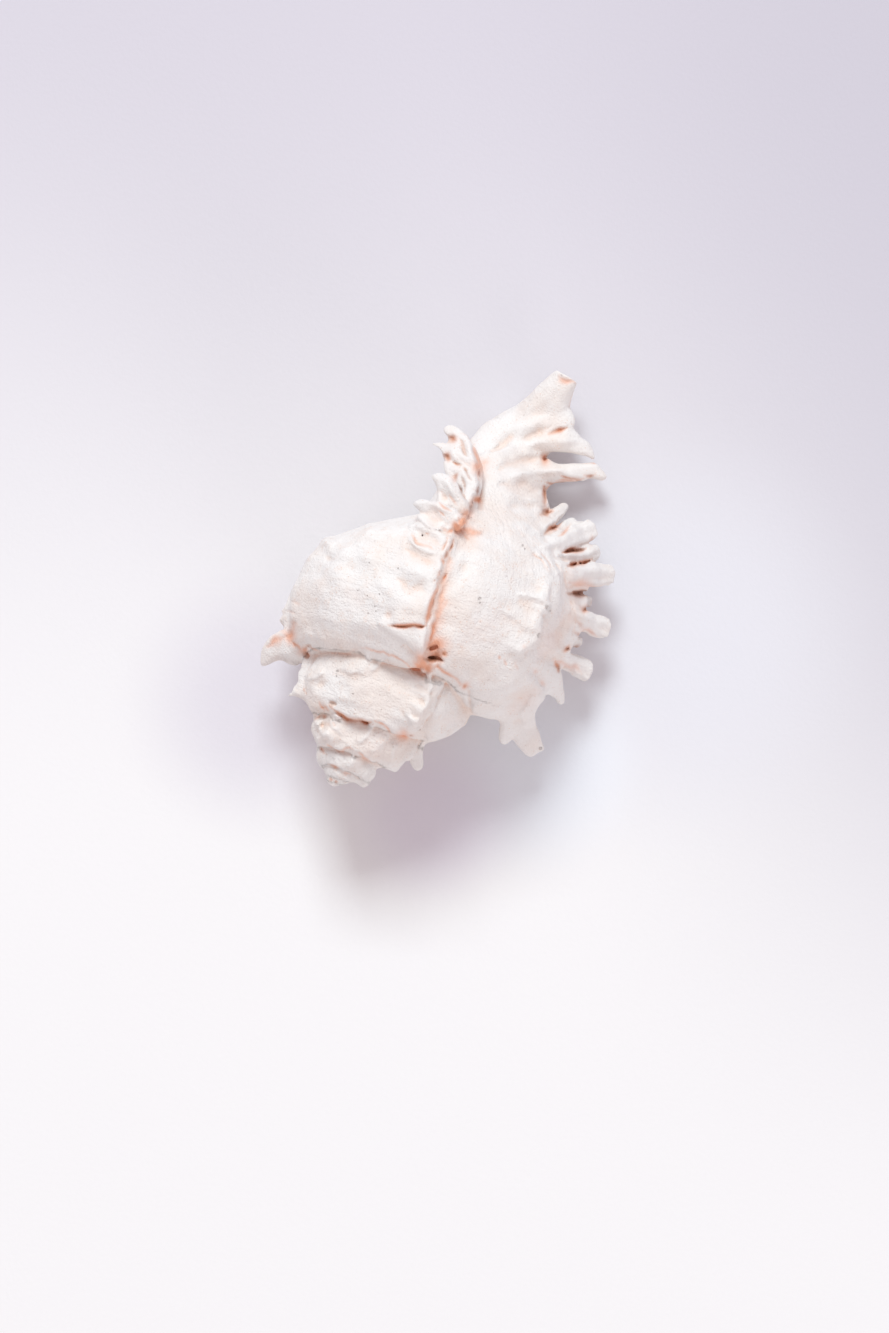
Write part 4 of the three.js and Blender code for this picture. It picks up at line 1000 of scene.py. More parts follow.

# %% [markdown]
# ## Relief that was measured
#
# What makes this shell itself, and not any murex, is written here as marks on the shell seen from above.
# A crease is a line or a spot with a half width and a height, below zero for a groove. A ledge is a line
# whose left side stands higher, seen along the line, and sinks back over its reach. A hole goes deep.
#
# A crease and a hole also say how much pink and how much brown stays there, from 0 to 1. The material reads
# that later. A crease of no height is a stain; the broad ones on the whorl's shaded side are painted shade.

# %% Creases
# line or spot, half width and height, then pink and brown where there is some
CREASE_ROWS = [
    # the gap between the middle varix and the last part of the whorl, with a ribbon of old lip in it
    ([(5, 38.6), (4, 41.4), (3.2, 45), (2.6, 49), (1.6, 53), (0.2, 57.4), (-0.6, 61), (-1.4, 66)], 2.2, -0.9),
    ([(4.2, 38), (3.2, 40.4), (2.1, 43.4), (1.1, 46.4), (0.4, 49.6), (-0.6, 52.4), (-2, 55.2), (-3, 57.6)],
     1, -0.7, 0.42),
    ([(3.2, 38.8), (2.3, 41), (1.3, 43), (0.9, 45.2), (0.3, 48), (0, 50.4)], 0.5, 0.9),
    ([(0.8, 41.2), (0.3, 43.4), (-0.1, 46), (-0.8, 48.2), (-1.5, 50.2)], 0.4, -0.6, 0.8),
    ([(3.9, 38.2), (3.2, 40.4), (2.4, 42.4), (1.8, 44.4), (1.3, 47.6), (0.8, 50)], 0.4, -0.4, 0.8),
    ([(-0.9, 53.6), (-0.7, 51)], 0.36, -0.8, 0.9, 0.1),
    ([(-4.4, 56.3), (-3.4, 55), (-2.7, 53.9)], 0.35, -0.7, 0.8),
    ([(0.2, 50.6), (-0.2, 53), (-1.2, 54.6)], 0.4, 0.7), ([(-2.2, 51), (-2.6, 53)], 0.4, -0.5, 0.5),
    ([(-3.4, 57.8), (-3.5, 56.2)], 0.5, -1.2, 1, 0.7), ([(-2.9, 60), (-2.9, 58.4)], 0.5, -1.2, 1, 0.6),
    ([(-5, 59.2), (-5.1, 57.8)], 0.5, -1.2, 1, 0.4),
    ([(-5.4, 60.6), (-4.6, 61.4), (-4.2, 62.4)], 0.5, -0.8, 1), ([(-4, 57), (-4, 60.4)], 0.5, 0.8, 0.2),
    ([(-3.6, 63.2)], 1, -0.7, 1), ([(-3.8, 62.2), (-3.2, 62.1)], 0.4, -0.6, 1, 0.6),
    ([(-3.8, 64), (-1.4, 63.9), (1, 64.4)], 0.8, 0.6, 1),
    ([(-3.3, 62.6), (-3.2, 65), (-3.3, 67.6)], 0.7, 0.7, 1), ([(-2.2, 62.8), (-0.8, 62.4)], 0.35, -0.3, 0.9),
    ([(-4.6, 65.6), (-3.4, 64.6)], 0.4, -0.6, 0.8), ([(-3.4, 67.2)], 0.8, -0.7, 1),
    ([(-4.4, 66.8), (-4.9, 64)], 0.5, 0.6, 0.1), ([(-4.2, 70), (-3.7, 69)], 0.7, -1.1, 0.9, 0.2),
    ([(-3.5, 70.8)], 0.5, -0.8, 1, 0.1), ([(-2.8, 66), (-2.4, 70), (-3.4, 74)], 1, -0.6, 0.05),
    ([(-4.4, 73.6), (-4, 71.6)], 0.34, -0.9, 0.5, 0.5),
    ([(-5, 75), (-5.8, 77), (-6.4, 78), (-7.8, 79.4), (-9.2, 80.6), (-10.4, 81.6)], 0.5, -0.8, 0.6),
    ([(-6.2, 77.6)], 1.3, -0.2, 0.9),
    # round the hole where that gap meets the whorl before
    ([(5.4, 38.1)], 1.4, -0.5, 1, 0.2), ([(4.2, 34)], 1.3, -0.4, 1), ([(5.8, 33.6)], 1, -0.3, 1, 0.1),
    ([(3.2, 32.6)], 0.8, -0.2, 0.9), ([(8.4, 35), (7, 34)], 1, -0.3, 0.9, 0.1),
    ([(3, 33.6), (3.6, 32.4), (2.4, 31.2)], 0.9, -0.5, 0.9), ([(6.6, 37)], 0.8, -0.9, 1, 0.4),
    ([(7.6, 37.8)], 0.45, -0.5, 1, 0.6), ([(4, 36.2), (8, 36)], 1.4, -1.4, 0.9, 0.3),
    # sutures
    ([(-16.8, 24.5), (-18.6, 24.3), (-19.4, 24.8)], 0.35, -0.4, 0.7),
    ([(-20, 24.4), (-20.2, 23.4), (-20, 22.4)], 0.36, -0.7, 1, 0.2),
    ([(-15.4, 25.1), (-13.6, 26.3), (-12, 27.6), (-11, 28.9), (-9.6, 29.6)], 0.26, -0.2, 0.12),
    ([(-9.6, 29.6), (-7.4, 30.2), (-5, 31.3), (-3.4, 30.8), (-1, 30.7), (1, 30.6), (3, 31.2), (4.2, 32)],
     0.22, -0.2, 0.42),
    ([(2.6, 31.4), (4.4, 32.4)], 0.5, 0, 0.6),
    ([(7.4, 35.8), (8.2, 34.5), (10, 34), (12.5, 34.3), (15, 34.3)], 0.34, -0.5, 0.6),
    ([(15, 34.3)], 0.4, -0.3, 1, 0.4),
    ([(15.4, 34.3), (16.6, 33.6), (17.4, 32), (18.4, 30)], 0.4, -0.5, 0.06),
    ([(-11.7, 14.9), (-11, 14.3), (-10, 14)], 0.36, -0.5, 0.9, 0.1),
    ([(-10.6, 15), (-9.4, 14.6)], 0.5, -0.8, 0.9, 0.1),
    ([(-8.4, 15.8), (-6.8, 15.3), (-4.6, 15.4), (-2.6, 16), (-0.8, 16.1), (0.4, 16.8)], 0.3, -0.7, 0.7, 0.25),
    ([(1.2, 17.2), (2.4, 16.8), (3.8, 16.4), (5.6, 15.9)], 0.28, -0.5, 0.6), ([(8.2, 17.4)], 1.1, -0.5, 0.8),
    ([(9.2, 18.4), (10.2, 18.6)], 0.3, -0.7, 0.9, 0.8), ([(-6.2, 5.8), (-5.6, 5)], 0.3, -0.4, 0.7, 0.1),
    ([(-3.8, 2.8), (-2.4, 3), (-0.8, 3.6)], 0.24, -0.3, 0.6),
    ([(-5.4, 7.1), (-4.4, 7)], 0.28, -0.35, 0.7, 0.2),
    ([(-4, 7), (-3, 7), (-2.2, 7.5), (-1.6, 8.6), (-1, 9.2), (0, 9.2)], 0.24, -0.3, 0.5),
    ([(1, 8.8), (3, 8.7), (5.2, 8.9)], 0.26, -0.4, 0.55),
    ([(0.4, 3), (1.4, 3.5), (2.6, 4.1)], 0.28, -0.4, 0.6), ([(-1.4, 0.4)], 0.26, -0.3, 0.7, 0.2),
    ([(-0.2, 0.7)], 0.26, -0.3, 0.7, 0.6),
    # knobs and dips of the spire
    ([(-8.4, 13.3), (-7.4, 14), (-5.4, 14.5)], 0.8, 0.9), ([(-5.8, 9)], 1.3, 1.1), ([(-9.6, 10.4)], 1.1, 0.7),
    ([(-4, 12.6), (-6, 12.6)], 1, 0.5, 0.06), ([(0.3, 8.8), (0.8, 7), (1.3, 4.6)], 0.5, 0.9),
    ([(-2.6, 5.4)], 1.3, 0.5), ([(-3, 10.4)], 1, 0.5), ([(8.2, 14.4), (9.4, 11.6)], 0.9, 0.5),
    ([(5.7, 4.2), (5.4, 6.8)], 0.8, 0.6), ([(-2, 13)], 1.6, -0.3), ([(5, 12.4)], 2.6, -0.3),
    ([(3.4, 6.4)], 1.2, -0.3), ([(-7.2, 11.2)], 0.9, -0.5, 0.1), ([(-7.8, 6.8), (-6.8, 8)], 0.8, 0.4),
    ([(-0.6, 1.8)], 1, 0.4), ([(-4.8, 9.6), (-6.4, 7.6)], 0.4, -0.4),
    ([(-7.2, 9.4), (-8.6, 11.4)], 0.5, -0.5, 0.05),
    # facets and scallops of the penultimate whorl
    ([(-8.4, 26.8)], 2.4, 0.5), ([(-8, 20.8)], 2.8, -0.5), ([(-1, 21.6)], 2.8, -0.4),
    ([(1.6, 27)], 2.2, -0.4), ([(-6, 28.4), (-9, 29)], 1, 0.5), ([(-15, 21), (-14.6, 17)], 1.4, 0.7),
    ([(-17.6, 20.6)], 1, 0.5), ([(-12.6, 18.4)], 1.4, -0.4), ([(6.2, 32.6), (3, 32.2)], 0.7, 0.5),
    ([(8.2, 29.6), (5.4, 30)], 0.9, 0.7), ([(9.6, 27), (5.6, 27.4)], 1, 0.5),
    ([(10, 24.2), (6, 24.2)], 1.1, 0.6), ([(10, 21.4), (7.4, 22)], 0.8, 0.7),
    ([(9, 28.4), (6.4, 28.6)], 0.36, -0.45), ([(10, 25.6), (7, 25.7)], 0.36, -0.45),
    ([(10.4, 22.8), (7.4, 22.8)], 0.36, -0.4),
    ([(11.8, 20.6), (11.4, 24.6), (10.8, 28.4), (9.2, 31.8)], 0.9, -0.3),
    ([(7.6, 31.2), (4, 31.2)], 0.38, -0.6),
    # the older varix at the left
    ([(-26, 26.4), (-25.7, 24.8), (-25.4, 23.4)], 1, -0.7, 1),
    ([(-24.8, 23.5), (-22.6, 22.9), (-20.4, 22.2)], 0.3, -0.4, 0.6),
    ([(-25.8, 23.6), (-27.2, 21.6), (-28.4, 20)], 0.5, -0.5, 1), ([(-25.5, 24.2)], 0.9, -0.3, 1),
    ([(-20.4, 22.8)], 0.7, -0.3, 0.9), ([(-28, 28.4), (-26.6, 28.8)], 0.4, -0.7, 0.5),
    ([(-27.4, 31), (-26, 31.6)], 0.4, -0.5, 0.3), ([(-26.8, 26.4), (-25.6, 27.2)], 0.4, -0.5, 0.6),
    ([(-28, 19), (-26.4, 18.6)], 0.6, 0.4), ([(-24, 20.6)], 1.6, 0.6),
    # the flap's open gutter, and the flutes of the middle varix
    ([(-6.3, 37), (-4.6, 37.7), (-3, 38.7), (-1.6, 39.8), (0.2, 40.4), (0.9, 41.2)], 0.3, -1.3, 1, 0.65),
    ([(-12, 43.4), (-6, 43.6), (-1.4, 44)], 2, 0.7), ([(-9.6, 50.1), (-6, 49.9), (-2.8, 49.7)], 1.5, 1.1),
    ([(-9.6, 47.1), (-6, 46.9), (-2, 46.9)], 1.4, -0.6, 0.05),
    ([(-11, 53.6), (-7, 53.4), (-3.8, 53)], 0.9, -0.7, 0.1), ([(-8.6, 45.4)], 1.2, 0.3),
    # the folds of the beaks and the scales
    ([(-12, 56.9), (-10, 56.3), (-8.4, 56.2), (-6.6, 56.4)], 0.26, -0.5, 0.4),
    ([(-9.6, 58.8)], 0.35, -0.3, 0.3), ([(-11.6, 58.2), (-8, 58), (-5.6, 58)], 1, -0.7, 0.06),
    ([(-12.6, 56.4), (-9, 55.4), (-5.6, 55.6)], 0.5, 0.5), ([(-12.6, 59.6), (-12.8, 57.4)], 0.5, 0.5),
    ([(-14, 63.8), (-12, 64.9), (-9, 64.9), (-6.4, 65.4)], 0.7, 0.9),
    ([(-12, 62.2), (-9, 62), (-6.4, 62.2)], 1.5, -1.5, 0.12), ([(-9, 64), (-6.6, 63.5)], 0.28, -0.4, 0.5),
    ([(-7.6, 60.6), (-5.4, 60.9)], 0.6, -0.5, 0.55),
    ([(-13.8, 70.6), (-12, 71.2), (-9, 70.2), (-6.6, 68.8)], 0.7, 0.9),
    ([(-11.4, 68.8), (-9.4, 67.4), (-7.6, 66.8)], 1.4, -1.4, 0.16),
    ([(-9.2, 69.2), (-7, 68), (-6, 67.4)], 0.28, -0.5, 0.7, 0.1),
    ([(-9.6, 65.9), (-8, 65.6), (-6.8, 65.8)], 0.34, -0.6, 0.8, 0.1),
    ([(-6.8, 66.2), (-5.8, 66.6)], 0.5, 0.5), ([(-14, 80.4), (-12, 79.3), (-10, 78.5)], 0.4, -0.9, 0.3, 0.25),
    ([(-15, 79.3)], 0.7, -1, 0.9, 0.4), ([(-13.8, 76)], 0.6, -0.8, 0.8, 0.4),
    ([(-10.3, 72.5)], 0.5, -0.8, 0.8, 0.5),
    ([(-9.6, 75.4), (-7.6, 74.9), (-6, 73.9)], 0.34, -0.9, 0.35, 0.45),
    ([(-9, 73.4), (-7.4, 73), (-6, 71.6)], 0.34, -0.8, 0.3, 0.45),
    ([(-8.2, 71.9), (-6.6, 71), (-5.4, 69.8)], 0.34, -0.8, 0.3, 0.35),
    ([(-12.6, 75.8), (-11, 75.5), (-9.4, 76)], 0.35, -0.7, 0.25, 0.1),
    ([(-14.6, 81.6), (-12.6, 81.8), (-11, 81)], 0.35, -0.5, 0.2, 0.05),
    ([(-11.6, 77.4), (-9, 76.6), (-7.4, 75.8)], 0.4, -0.6, 0.15),
    ([(-12, 80.8), (-9.6, 79.2), (-7.6, 77.4)], 0.6, 0.6), ([(-14.6, 77.6), (-11.6, 76.8)], 0.6, 0.5),
    ([(-12.4, 73.8), (-10, 74.2)], 0.6, 0.5), ([(-16.6, 81.4), (-14.6, 81)], 0.4, 0.3),
    ([(-16.8, 77.4), (-14.8, 78.2)], 0.35, -0.4, 0.1),
    # low nodes of the smooth part at the left
    ([(-22, 41)], 2.2, 0.5), ([(-27.4, 46.4)], 1.8, 0.9), ([(-23, 46.4)], 1.8, 0.4),
    ([(-17.4, 48)], 2.2, 0.4), ([(-28.8, 40.6)], 1.8, 0.8), ([(-20, 52.6)], 2, 0.4),
    ([(-25.4, 43.4)], 1.4, -0.5), ([(-20, 44.6)], 1.5, -0.4), ([(-24, 37)], 2.4, -0.4),
    ([(-16, 37.6)], 2.6, -0.3), ([(-13, 34)], 1.6, 0.3), ([(-7.6, 38.8)], 1, -0.4, 0.08),
    # the last part of the whorl: slanting folds, wear, stains, and washes of painted shade
    ([(13.4, 52), (18.6, 51.5), (23, 51.9)], 1.4, 0.7), ([(15.6, 55.3), (21.6, 55.2)], 1.2, -0.5),
    ([(14.2, 57), (19, 57.5), (22.2, 58.1)], 1.1, 0.6), ([(16, 60.4), (20.4, 60)], 1.1, -0.4),
    ([(15, 62.6), (19.8, 63.4)], 0.7, 0.4), ([(25.1, 63.3), (28.4, 58.3), (29.8, 55)], 0.4, -0.4, 0.1),
    ([(5, 59.6), (11, 59.8)], 1.8, 0.3), ([(6, 54.6)], 2.2, 0.2),
    ([(25.6, 53), (26, 56), (25.8, 58.6)], 1.2, -0.5, 0.1),
    ([(12.5, 67.1), (15.4, 65.8), (17.8, 64.2)], 0.35, -0.3, 0.15),
    ([(14.4, 67.8), (16.6, 66.4), (18.2, 64.7)], 0.3, -0.3, 0.15),
    ([(13.4, 67.6), (16, 66.2), (18.2, 64.4)], 0.4, 0.25),
    ([(18.3, 67.2), (21.6, 65.8), (24.6, 63.5)], 0.35, -0.3, 0.1), ([(6, 71), (12, 68.2)], 0.4, -0.12, 0.05),
    ([(4, 68), (9, 65.4), (14, 63.6)], 0.6, -0.15), ([(19, 43.4), (19.8, 42.8)], 0.3, -0.2, 0.7, 0.1),
    ([(18, 43.2)], 0.22, -0.2, 0.6, 0.2), ([(21.4, 48)], 0.7, -0.2, 0.25),
    ([(-8, 72), (-12, 79)], 4, 0, 0.14), ([(-9, 57), (-9.4, 69)], 3, 0, 0.08),
    ([(29, 48.6), (35.6, 48.4)], 0.6, 0, 0.3, 0.05), ([(28, 58.4), (35.6, 58.8)], 0.6, 0, 0.35, 0.05),
    # painted shade: the broad washes of no height on the whorl's right part and flank, on this line and the
    # next, tint its shaded side darker and pinker
    ([(31, 52.6), (33.6, 53)], 0.6, 0, 0.3), ([(28.4, 55), (26, 63), (20, 70)], 2, 0, 0.12),
    ([(10, 41), (14, 50)], 6, 0, 0.1), ([(26, 47), (25, 58)], 3, 0, 0.14), ([(29, 40), (27, 34)], 3, 0, 0.16),
    ([(17, 27), (14, 24)], 3, 0, 0.08), ([(-12, 36), (-20, 40)], 3, 0, 0.06), ([(4, 12)], 3, 0, 0.08),
    ([(13.6, 44.2)], 0.5, -0.1, 0.2), ([(26, 44.6)], 0.8, -0.1, 0.3), ([(29.4, 42.6)], 0.8, -0.2, 0.35),
    ([(30.8, 51.8)], 0.6, -0.3, 0.5), ([(21.4, 44), (22.4, 43.2)], 0.4, -0.2, 0.35),
    ([(10.8, 48)], 0.5, -0.1, 0.2),
    # the lip's fronds run on as ridges, with brown between their bases
    ([(14.4, 69.4), (18, 73.4), (21.4, 77.6)], 1.5, 0.8), ([(19.6, 66), (25, 69), (29.6, 71.4)], 1.7, 0.9),
    ([(22.4, 60.2), (28, 60.4), (34, 60.6)], 1.5, 0.8), ([(23.6, 50.8), (29, 51), (35, 50.2)], 1.5, 0.8),
    ([(11, 70.4), (13.2, 74), (14.4, 78.4)], 0.9, 0.6), ([(18, 68.6), (22, 71.8), (25.4, 74.2)], 0.8, 0.6),
    ([(19, 70), (22.4, 74)], 0.45, -0.5, 0.8, 0.8), ([(21.2, 68), (24.8, 71.6)], 0.35, -0.4, 0.8, 0.5),
    ([(23.4, 65.6), (30, 68.2)], 1.2, 0, 0.5),
    ([(29.6, 48.4), (30.4, 47.6), (31.2, 46.8)], 0.5, -0.9, 0.7, 0.3), ([(31, 52.6)], 0.7, -1, 0.6, 0.4),
    ([(30, 56.4), (32, 56.6)], 0.7, -1, 0.7, 0.4), ([(33, 53.6)], 0.6, -0.4, 0.5, 0.4),
    ([(25, 63.3), (27.2, 64.7), (29.4, 65.7)], 0.8, -2, 0.8, 1), ([(29.4, 62)], 0.6, -1.2, 0.8, 0.8),
    ([(18.8, 69.6), (20.6, 71.8), (22.6, 74)], 0.34, -1, 0.8, 0.85),
    ([(21.2, 68), (23.2, 70.4), (25.4, 72.2)], 0.34, -0.9, 0.8, 0.4),
    ([(13.2, 72.2), (14.6, 74.4), (15.4, 77)], 0.34, -0.9, 0.8, 0.4),
    ([(16, 73.2), (17, 75), (17.6, 76.6)], 0.3, -0.6, 0.7, 0.1),
    ([(10.4, 75), (11.2, 76.6), (12, 78.4)], 0.7, -0.8, 1, 0.6),
    ([(8.6, 80.8), (9.6, 79.6), (10.6, 78.4)], 0.5, -0.6, 1, 0.5),
    ([(9.4, 81.8), (9.8, 80.8)], 0.4, -0.3, 0.8, 0.3), ([(26.5, 67), (30, 68.4)], 0.8, -0.4, 0.4, 0.1),
    ([(29.6, 58.4), (33, 57.4)], 1, -0.2, 0.4), ([(23.4, 75.8)], 0.6, -0.3, 0.35, 0.1),
    ([(30.4, 63.8)], 0.8, -0.3, 0.4, 0.2),
    # folds of the canal
    ([(-6, 82.2), (-2.8, 86.8), (0, 90.2), (3.2, 93.4)], 1.3, -0.9, 0.04),
    ([(3.4, 92.4), (5.5, 94.6)], 0.55, -1.1, 0.7, 0.15),
    ([(-2.4, 79.8), (0.6, 83.6), (4.6, 86.6)], 1.2, -0.9, 0.06), ([(5.1, 86.6)], 0.8, -0.6, 0.6),
    ([(-3.6, 83.6), (0.4, 88), (4.4, 91), (9, 93.2)], 1, 0.5),
    ([(-5.6, 87.6), (-2.4, 91.6), (1, 95.2)], 1.6, 0.3),
    ([(0.4, 79.6), (5, 83.4), (9.6, 85.6), (15, 87)], 1.1, 0.5),
    ([(9.4, 84.6), (12, 85.4), (14.6, 86.6)], 0.26, -0.4, 0.6, 0.3),
    ([(8, 81.6), (11, 83.6), (14, 84.8)], 0.3, -0.3, 0.5, 0.25),
    ([(14.6, 87.6), (16.8, 88.6)], 0.3, -0.4, 0.5, 0.35),
    ([(0, 76.8), (4, 78.8), (8.4, 80)], 1.8, -0.9, 0.05),
    ([(2.4, 72.4), (6, 74.6), (9.6, 75.6)], 1.8, -0.6, 0.03), ([(2, 75), (6, 77), (10, 77.4)], 0.9, 0.3),
    ([(-0.4, 98), (0.4, 103)], 1.2, -0.3), ([(-4.6, 92), (-1.6, 99)], 1, 0.3),
    ([(2.6, 84), (8, 85.4), (13.6, 88)], 1, 0.3), ([(9.6, 83.4), (12.4, 85.2), (15, 87.2)], 0.4, -0.3, 0.5),
    ([(11.4, 89.4), (14, 90.6), (16, 91.2)], 0.34, -0.4, 0.7, 0.2),
    ([(-1.6, 104.9), (-0.6, 104.2), (0.6, 104.4), (3, 105)], 0.5, -0.4, 0.7),
    ([(3.4, 100), (3.4, 103)], 0.5, -0.1, 0.3), ([(9, 80), (10, 82)], 0.6, -0.3, 0.5, 0.1),
    ([(9.6, 78.8), (11.2, 77.4)], 0.9, -0.6, 0.75, 0.2),
]
CREASES = [(line, half_width, height, *(stain + [0, 0])[:2])
           for line, half_width, height, *stain in CREASE_ROWS]
print(len(CREASES), "creases,", sum(row[3] > 0 for row in CREASES), "of them pink")

# %% Ledges and holes
# (line with its higher side at the left, reach, height, width of the step)
LEDGES = [
    ([(3, 34), (3.3, 36.8), (2.2, 39.6), (0.9, 41.6), (0.3, 44.4), (-0.4, 47.4), (-1.5, 50), (-2.4, 52.4),
     (-3.6, 54.6), (-4.4, 56.4)], 3.4, 1.5, 0.4),
    ([(20.8, 44), (22.6, 48.4), (23.8, 51.9), (22.7, 53.2), (21.9, 55.5), (22.4, 57.9), (21, 58.9),
     (20.9, 61.3), (20, 63.6)], 2.8, 1.4, 0.5),
    ([(12.4, 51.6), (17, 51), (20, 50.9), (23.6, 51.3)], 3, 0.45, 1),
    ([(13, 56.8), (19, 57), (22.2, 57.6)], 2.4, 0.25, 1),
    ([(11.1, 20), (10.1, 21.4), (10.3, 23.4), (9.6, 24.6), (10, 25.6), (9.8, 27.4), (8.5, 28.3), (8.8, 30.2),
     (7.6, 31.2), (7.4, 32.6), (6.4, 33.4)], 3, 1.5, 0.35),
    ([(-12.4, 23), (-8, 23.8), (-4.2, 25)], 3, 0.8, 1),
    ([(4.3, 22.2), (7, 21.5), (9.6, 20)], 2.4, 0.8, 0.6),
    ([(-4.3, 24.6), (-4, 27.4), (-4.2, 30.6)], 3.2, 0.9, 0.6),
    ([(0.6, 10.4), (1.3, 13.5), (1.2, 17)], 1.8, 0.7, 0.4),
    ([(-13.2, 62.3), (-12, 60.7), (-9.6, 60), (-6, 60.2)], 1.8, 0.9, 0.4),
    ([(-14, 69.8), (-12.2, 68), (-11, 66.2), (-9.4, 65.6), (-6.8, 65.8)], 1.8, 0.9, 0.4),
    ([(-12.8, 57.2), (-12, 55.8), (-9, 55.1), (-5, 55)], 1.6, 0.4, 0.5),
    ([(-6.9, 36.6), (-3, 38.7), (0.2, 40.4), (0.9, 41.4)], 3.2, 1, 0.4),
    ([(-11, 13), (-10.4, 10.6), (-8.6, 9.4), (-6, 7.6)], 1.6, 0.6, 0.4),
    ([(9.8, 9.4), (8.8, 12), (9.4, 15.6)], 1.6, 0.5, 0.6),
    ([(6.6, 3.4), (5.4, 5.4), (5.6, 8.2)], 1.3, 0.5, 0.5),
    ([(-9.4, 15.1), (-6.8, 15.3), (-4.6, 15.4), (-2.6, 16), (0.4, 16.8), (3.8, 16.4), (7.2, 17)],
     1.4, 0.7, 0.35),
    ([(-6.6, 6), (-5, 7), (-3, 7), (-2.2, 7.5), (-1, 9.2), (1.4, 8.8), (3.6, 8.6), (5.6, 8.9)],
     1.2, 0.6, 0.35),
    ([(-4.2, 2.6), (-2.4, 3), (-0.8, 3.6), (1, 3.2), (2.8, 4.2)], 0.9, 0.4, 0.35),
    ([(-8, 11.4), (-5.6, 11), (-2.6, 11.4)], 1.2, 0.5, 0.5),
    ([(4.4, 9.4), (4.6, 12), (6.2, 14.6)], 1.4, 0.4, 0.5),
    ([(-16.4, 17.6), (-14, 19.4), (-13.4, 22.4)], 1.6, 0.5, 0.6),
    ([(31.2, 40), (28.6, 38), (28.2, 34), (30.6, 31)], 2.4, 0.5, 0.8),
]
# (x, y, half width, depth) along each hole, then pink and brown
HOLES = [
    ([(3.8, 35, 0.5, 1.4), (4.9, 35.4, 0.7, 2.3), (6.4, 36.1, 0.6, 2), (8.3, 35.9, 0.3, 1.2)], 1, 1),
    ([(4, 37, 0.6, 2), (4.9, 38, 0.55, 1.6)], 1, 1),
    ([(-9.2, 15.8, 0.5, 1.3), (-8.6, 15.8, 0.5, 1.3)], 0.9, 1),
    ([(-19.7, 22.4, 0.5, 1.4), (-19.3, 22.3, 0.5, 1.4)], 1, 0.9),
    ([(-19.8, 24.4, 0.32, 0.9), (-19.6, 24.3, 0.32, 0.9)], 1, 0.9),
    ([(-9.2, 12.3, 0.25, 0.6), (-9, 12.3, 0.25, 0.6)], 0.8, 0.4),
    ([(-6.5, 12.1, 0.45, 0.4), (-6.1, 11.9, 0.45, 0.4)], 0.7, 0),
    ([(-10, 11.8, 0.3, 0.6), (-10.2, 10.8, 0.3, 0.6)], 0.8, 0.6),
    ([(-15.5, 15, 0.34, 0.8), (-15.4, 14.8, 0.34, 0.8)], 0.8, 0.9),
    ([(-16, 15.9, 0.28, 0.7), (-15.9, 15.7, 0.28, 0.7)], 0.8, 0.8),
    ([(-2.4, 50.4, 0.25, 0.6), (-2.3, 50.4, 0.25, 0.6)], 0.8, 0.8),
    ([(-2.9, 52.6, 0.28, 0.6), (-2.8, 52.4, 0.28, 0.6)], 0.9, 0.6),
    ([(25.6, 63.8, 0.6, 2.4), (27.6, 64.8, 0.65, 3), (29, 65.5, 0.5, 2)], 0.8, 1),
    ([(19.6, 70.4, 0.22, 1), (21.8, 73, 0.26, 1.2)], 0.8, 0.9),
    ([(11, 76.2, 0.3, 1.2), (11.6, 77.6, 0.3, 1.2)], 0.8, 0.9),
    ([(4.2, 93.2, 0.3, 0.8), (5.2, 94.3, 0.4, 1.2)], 0.9, 0.4),
    ([(-4.2, 62.4, 0.4, 1), (-3.8, 62.2, 0.4, 1)], 1, 0.6),
]


def nearest_on(x, y, line):
    """The squared distance to a line, the side of it, above zero at its left, and how far from its ends."""
    least, side, inward = (np.full(np.shape(x), value) for value in (ENDLESS, 0.0, ENDLESS))
    if len(line) == 1:
        line = [line[0], line[0]]
    lengths = [math.dist(a, b) for a, b in zip(line, line[1:])]
    passed = 0.0
    for (ax, ay), (bx, by), length in zip(line, line[1:], lengths):
        dx, dy = bx - ax, by - ay
        share = np.clip(((x - ax) * dx + (y - ay) * dy) / (dx * dx + dy * dy + 1e-9), 0, 1)
        square = (x - ax - share * dx) ** 2 + (y - ay - share * dy) ** 2
        nearer = square < least
        side = np.where(nearer, dx * (y - ay) - dy * (x - ax), side)
        along = passed + share * length
        inward = np.where(nearer, np.minimum(along, sum(lengths) - along), inward)
        least = np.where(nearer, square, least)
        passed += length
    return least, side, inward if passed else np.full(np.shape(x), ENDLESS)


def nearness(x, y, line, half_width):
    """1 on the line, falling to 0 away from it and thinning out to its ends."""
    square, _, inward = nearest_on(x, y, line)
    taper = 0.45 + 0.55 * eased(inward / (2 * half_width + 0.6))
    return taper * np.exp(-square / (half_width * taper) ** 2)


def ledge(x, y, line, reach, step):
    """1 at the left of the line, sinking over the reach, and 0 at its right."""
    square, side, inward = nearest_on(x, y, line)
    away = np.sqrt(square) * np.sign(side)
    return (eased(away / step + 0.5) * np.exp(-np.maximum(away, 0) ** 2 / reach ** 2)
            * np.exp(-np.maximum(-away, 0) * 4) * eased(inward / reach))


def random_map(cells, height, seed):
    """Smooth random numbers over the grid's plan."""
    values = blurred(np.random.default_rng(seed).standard_normal(CELLS[:2]).astype(np.float32), cells)
    return values * (height / values.std())


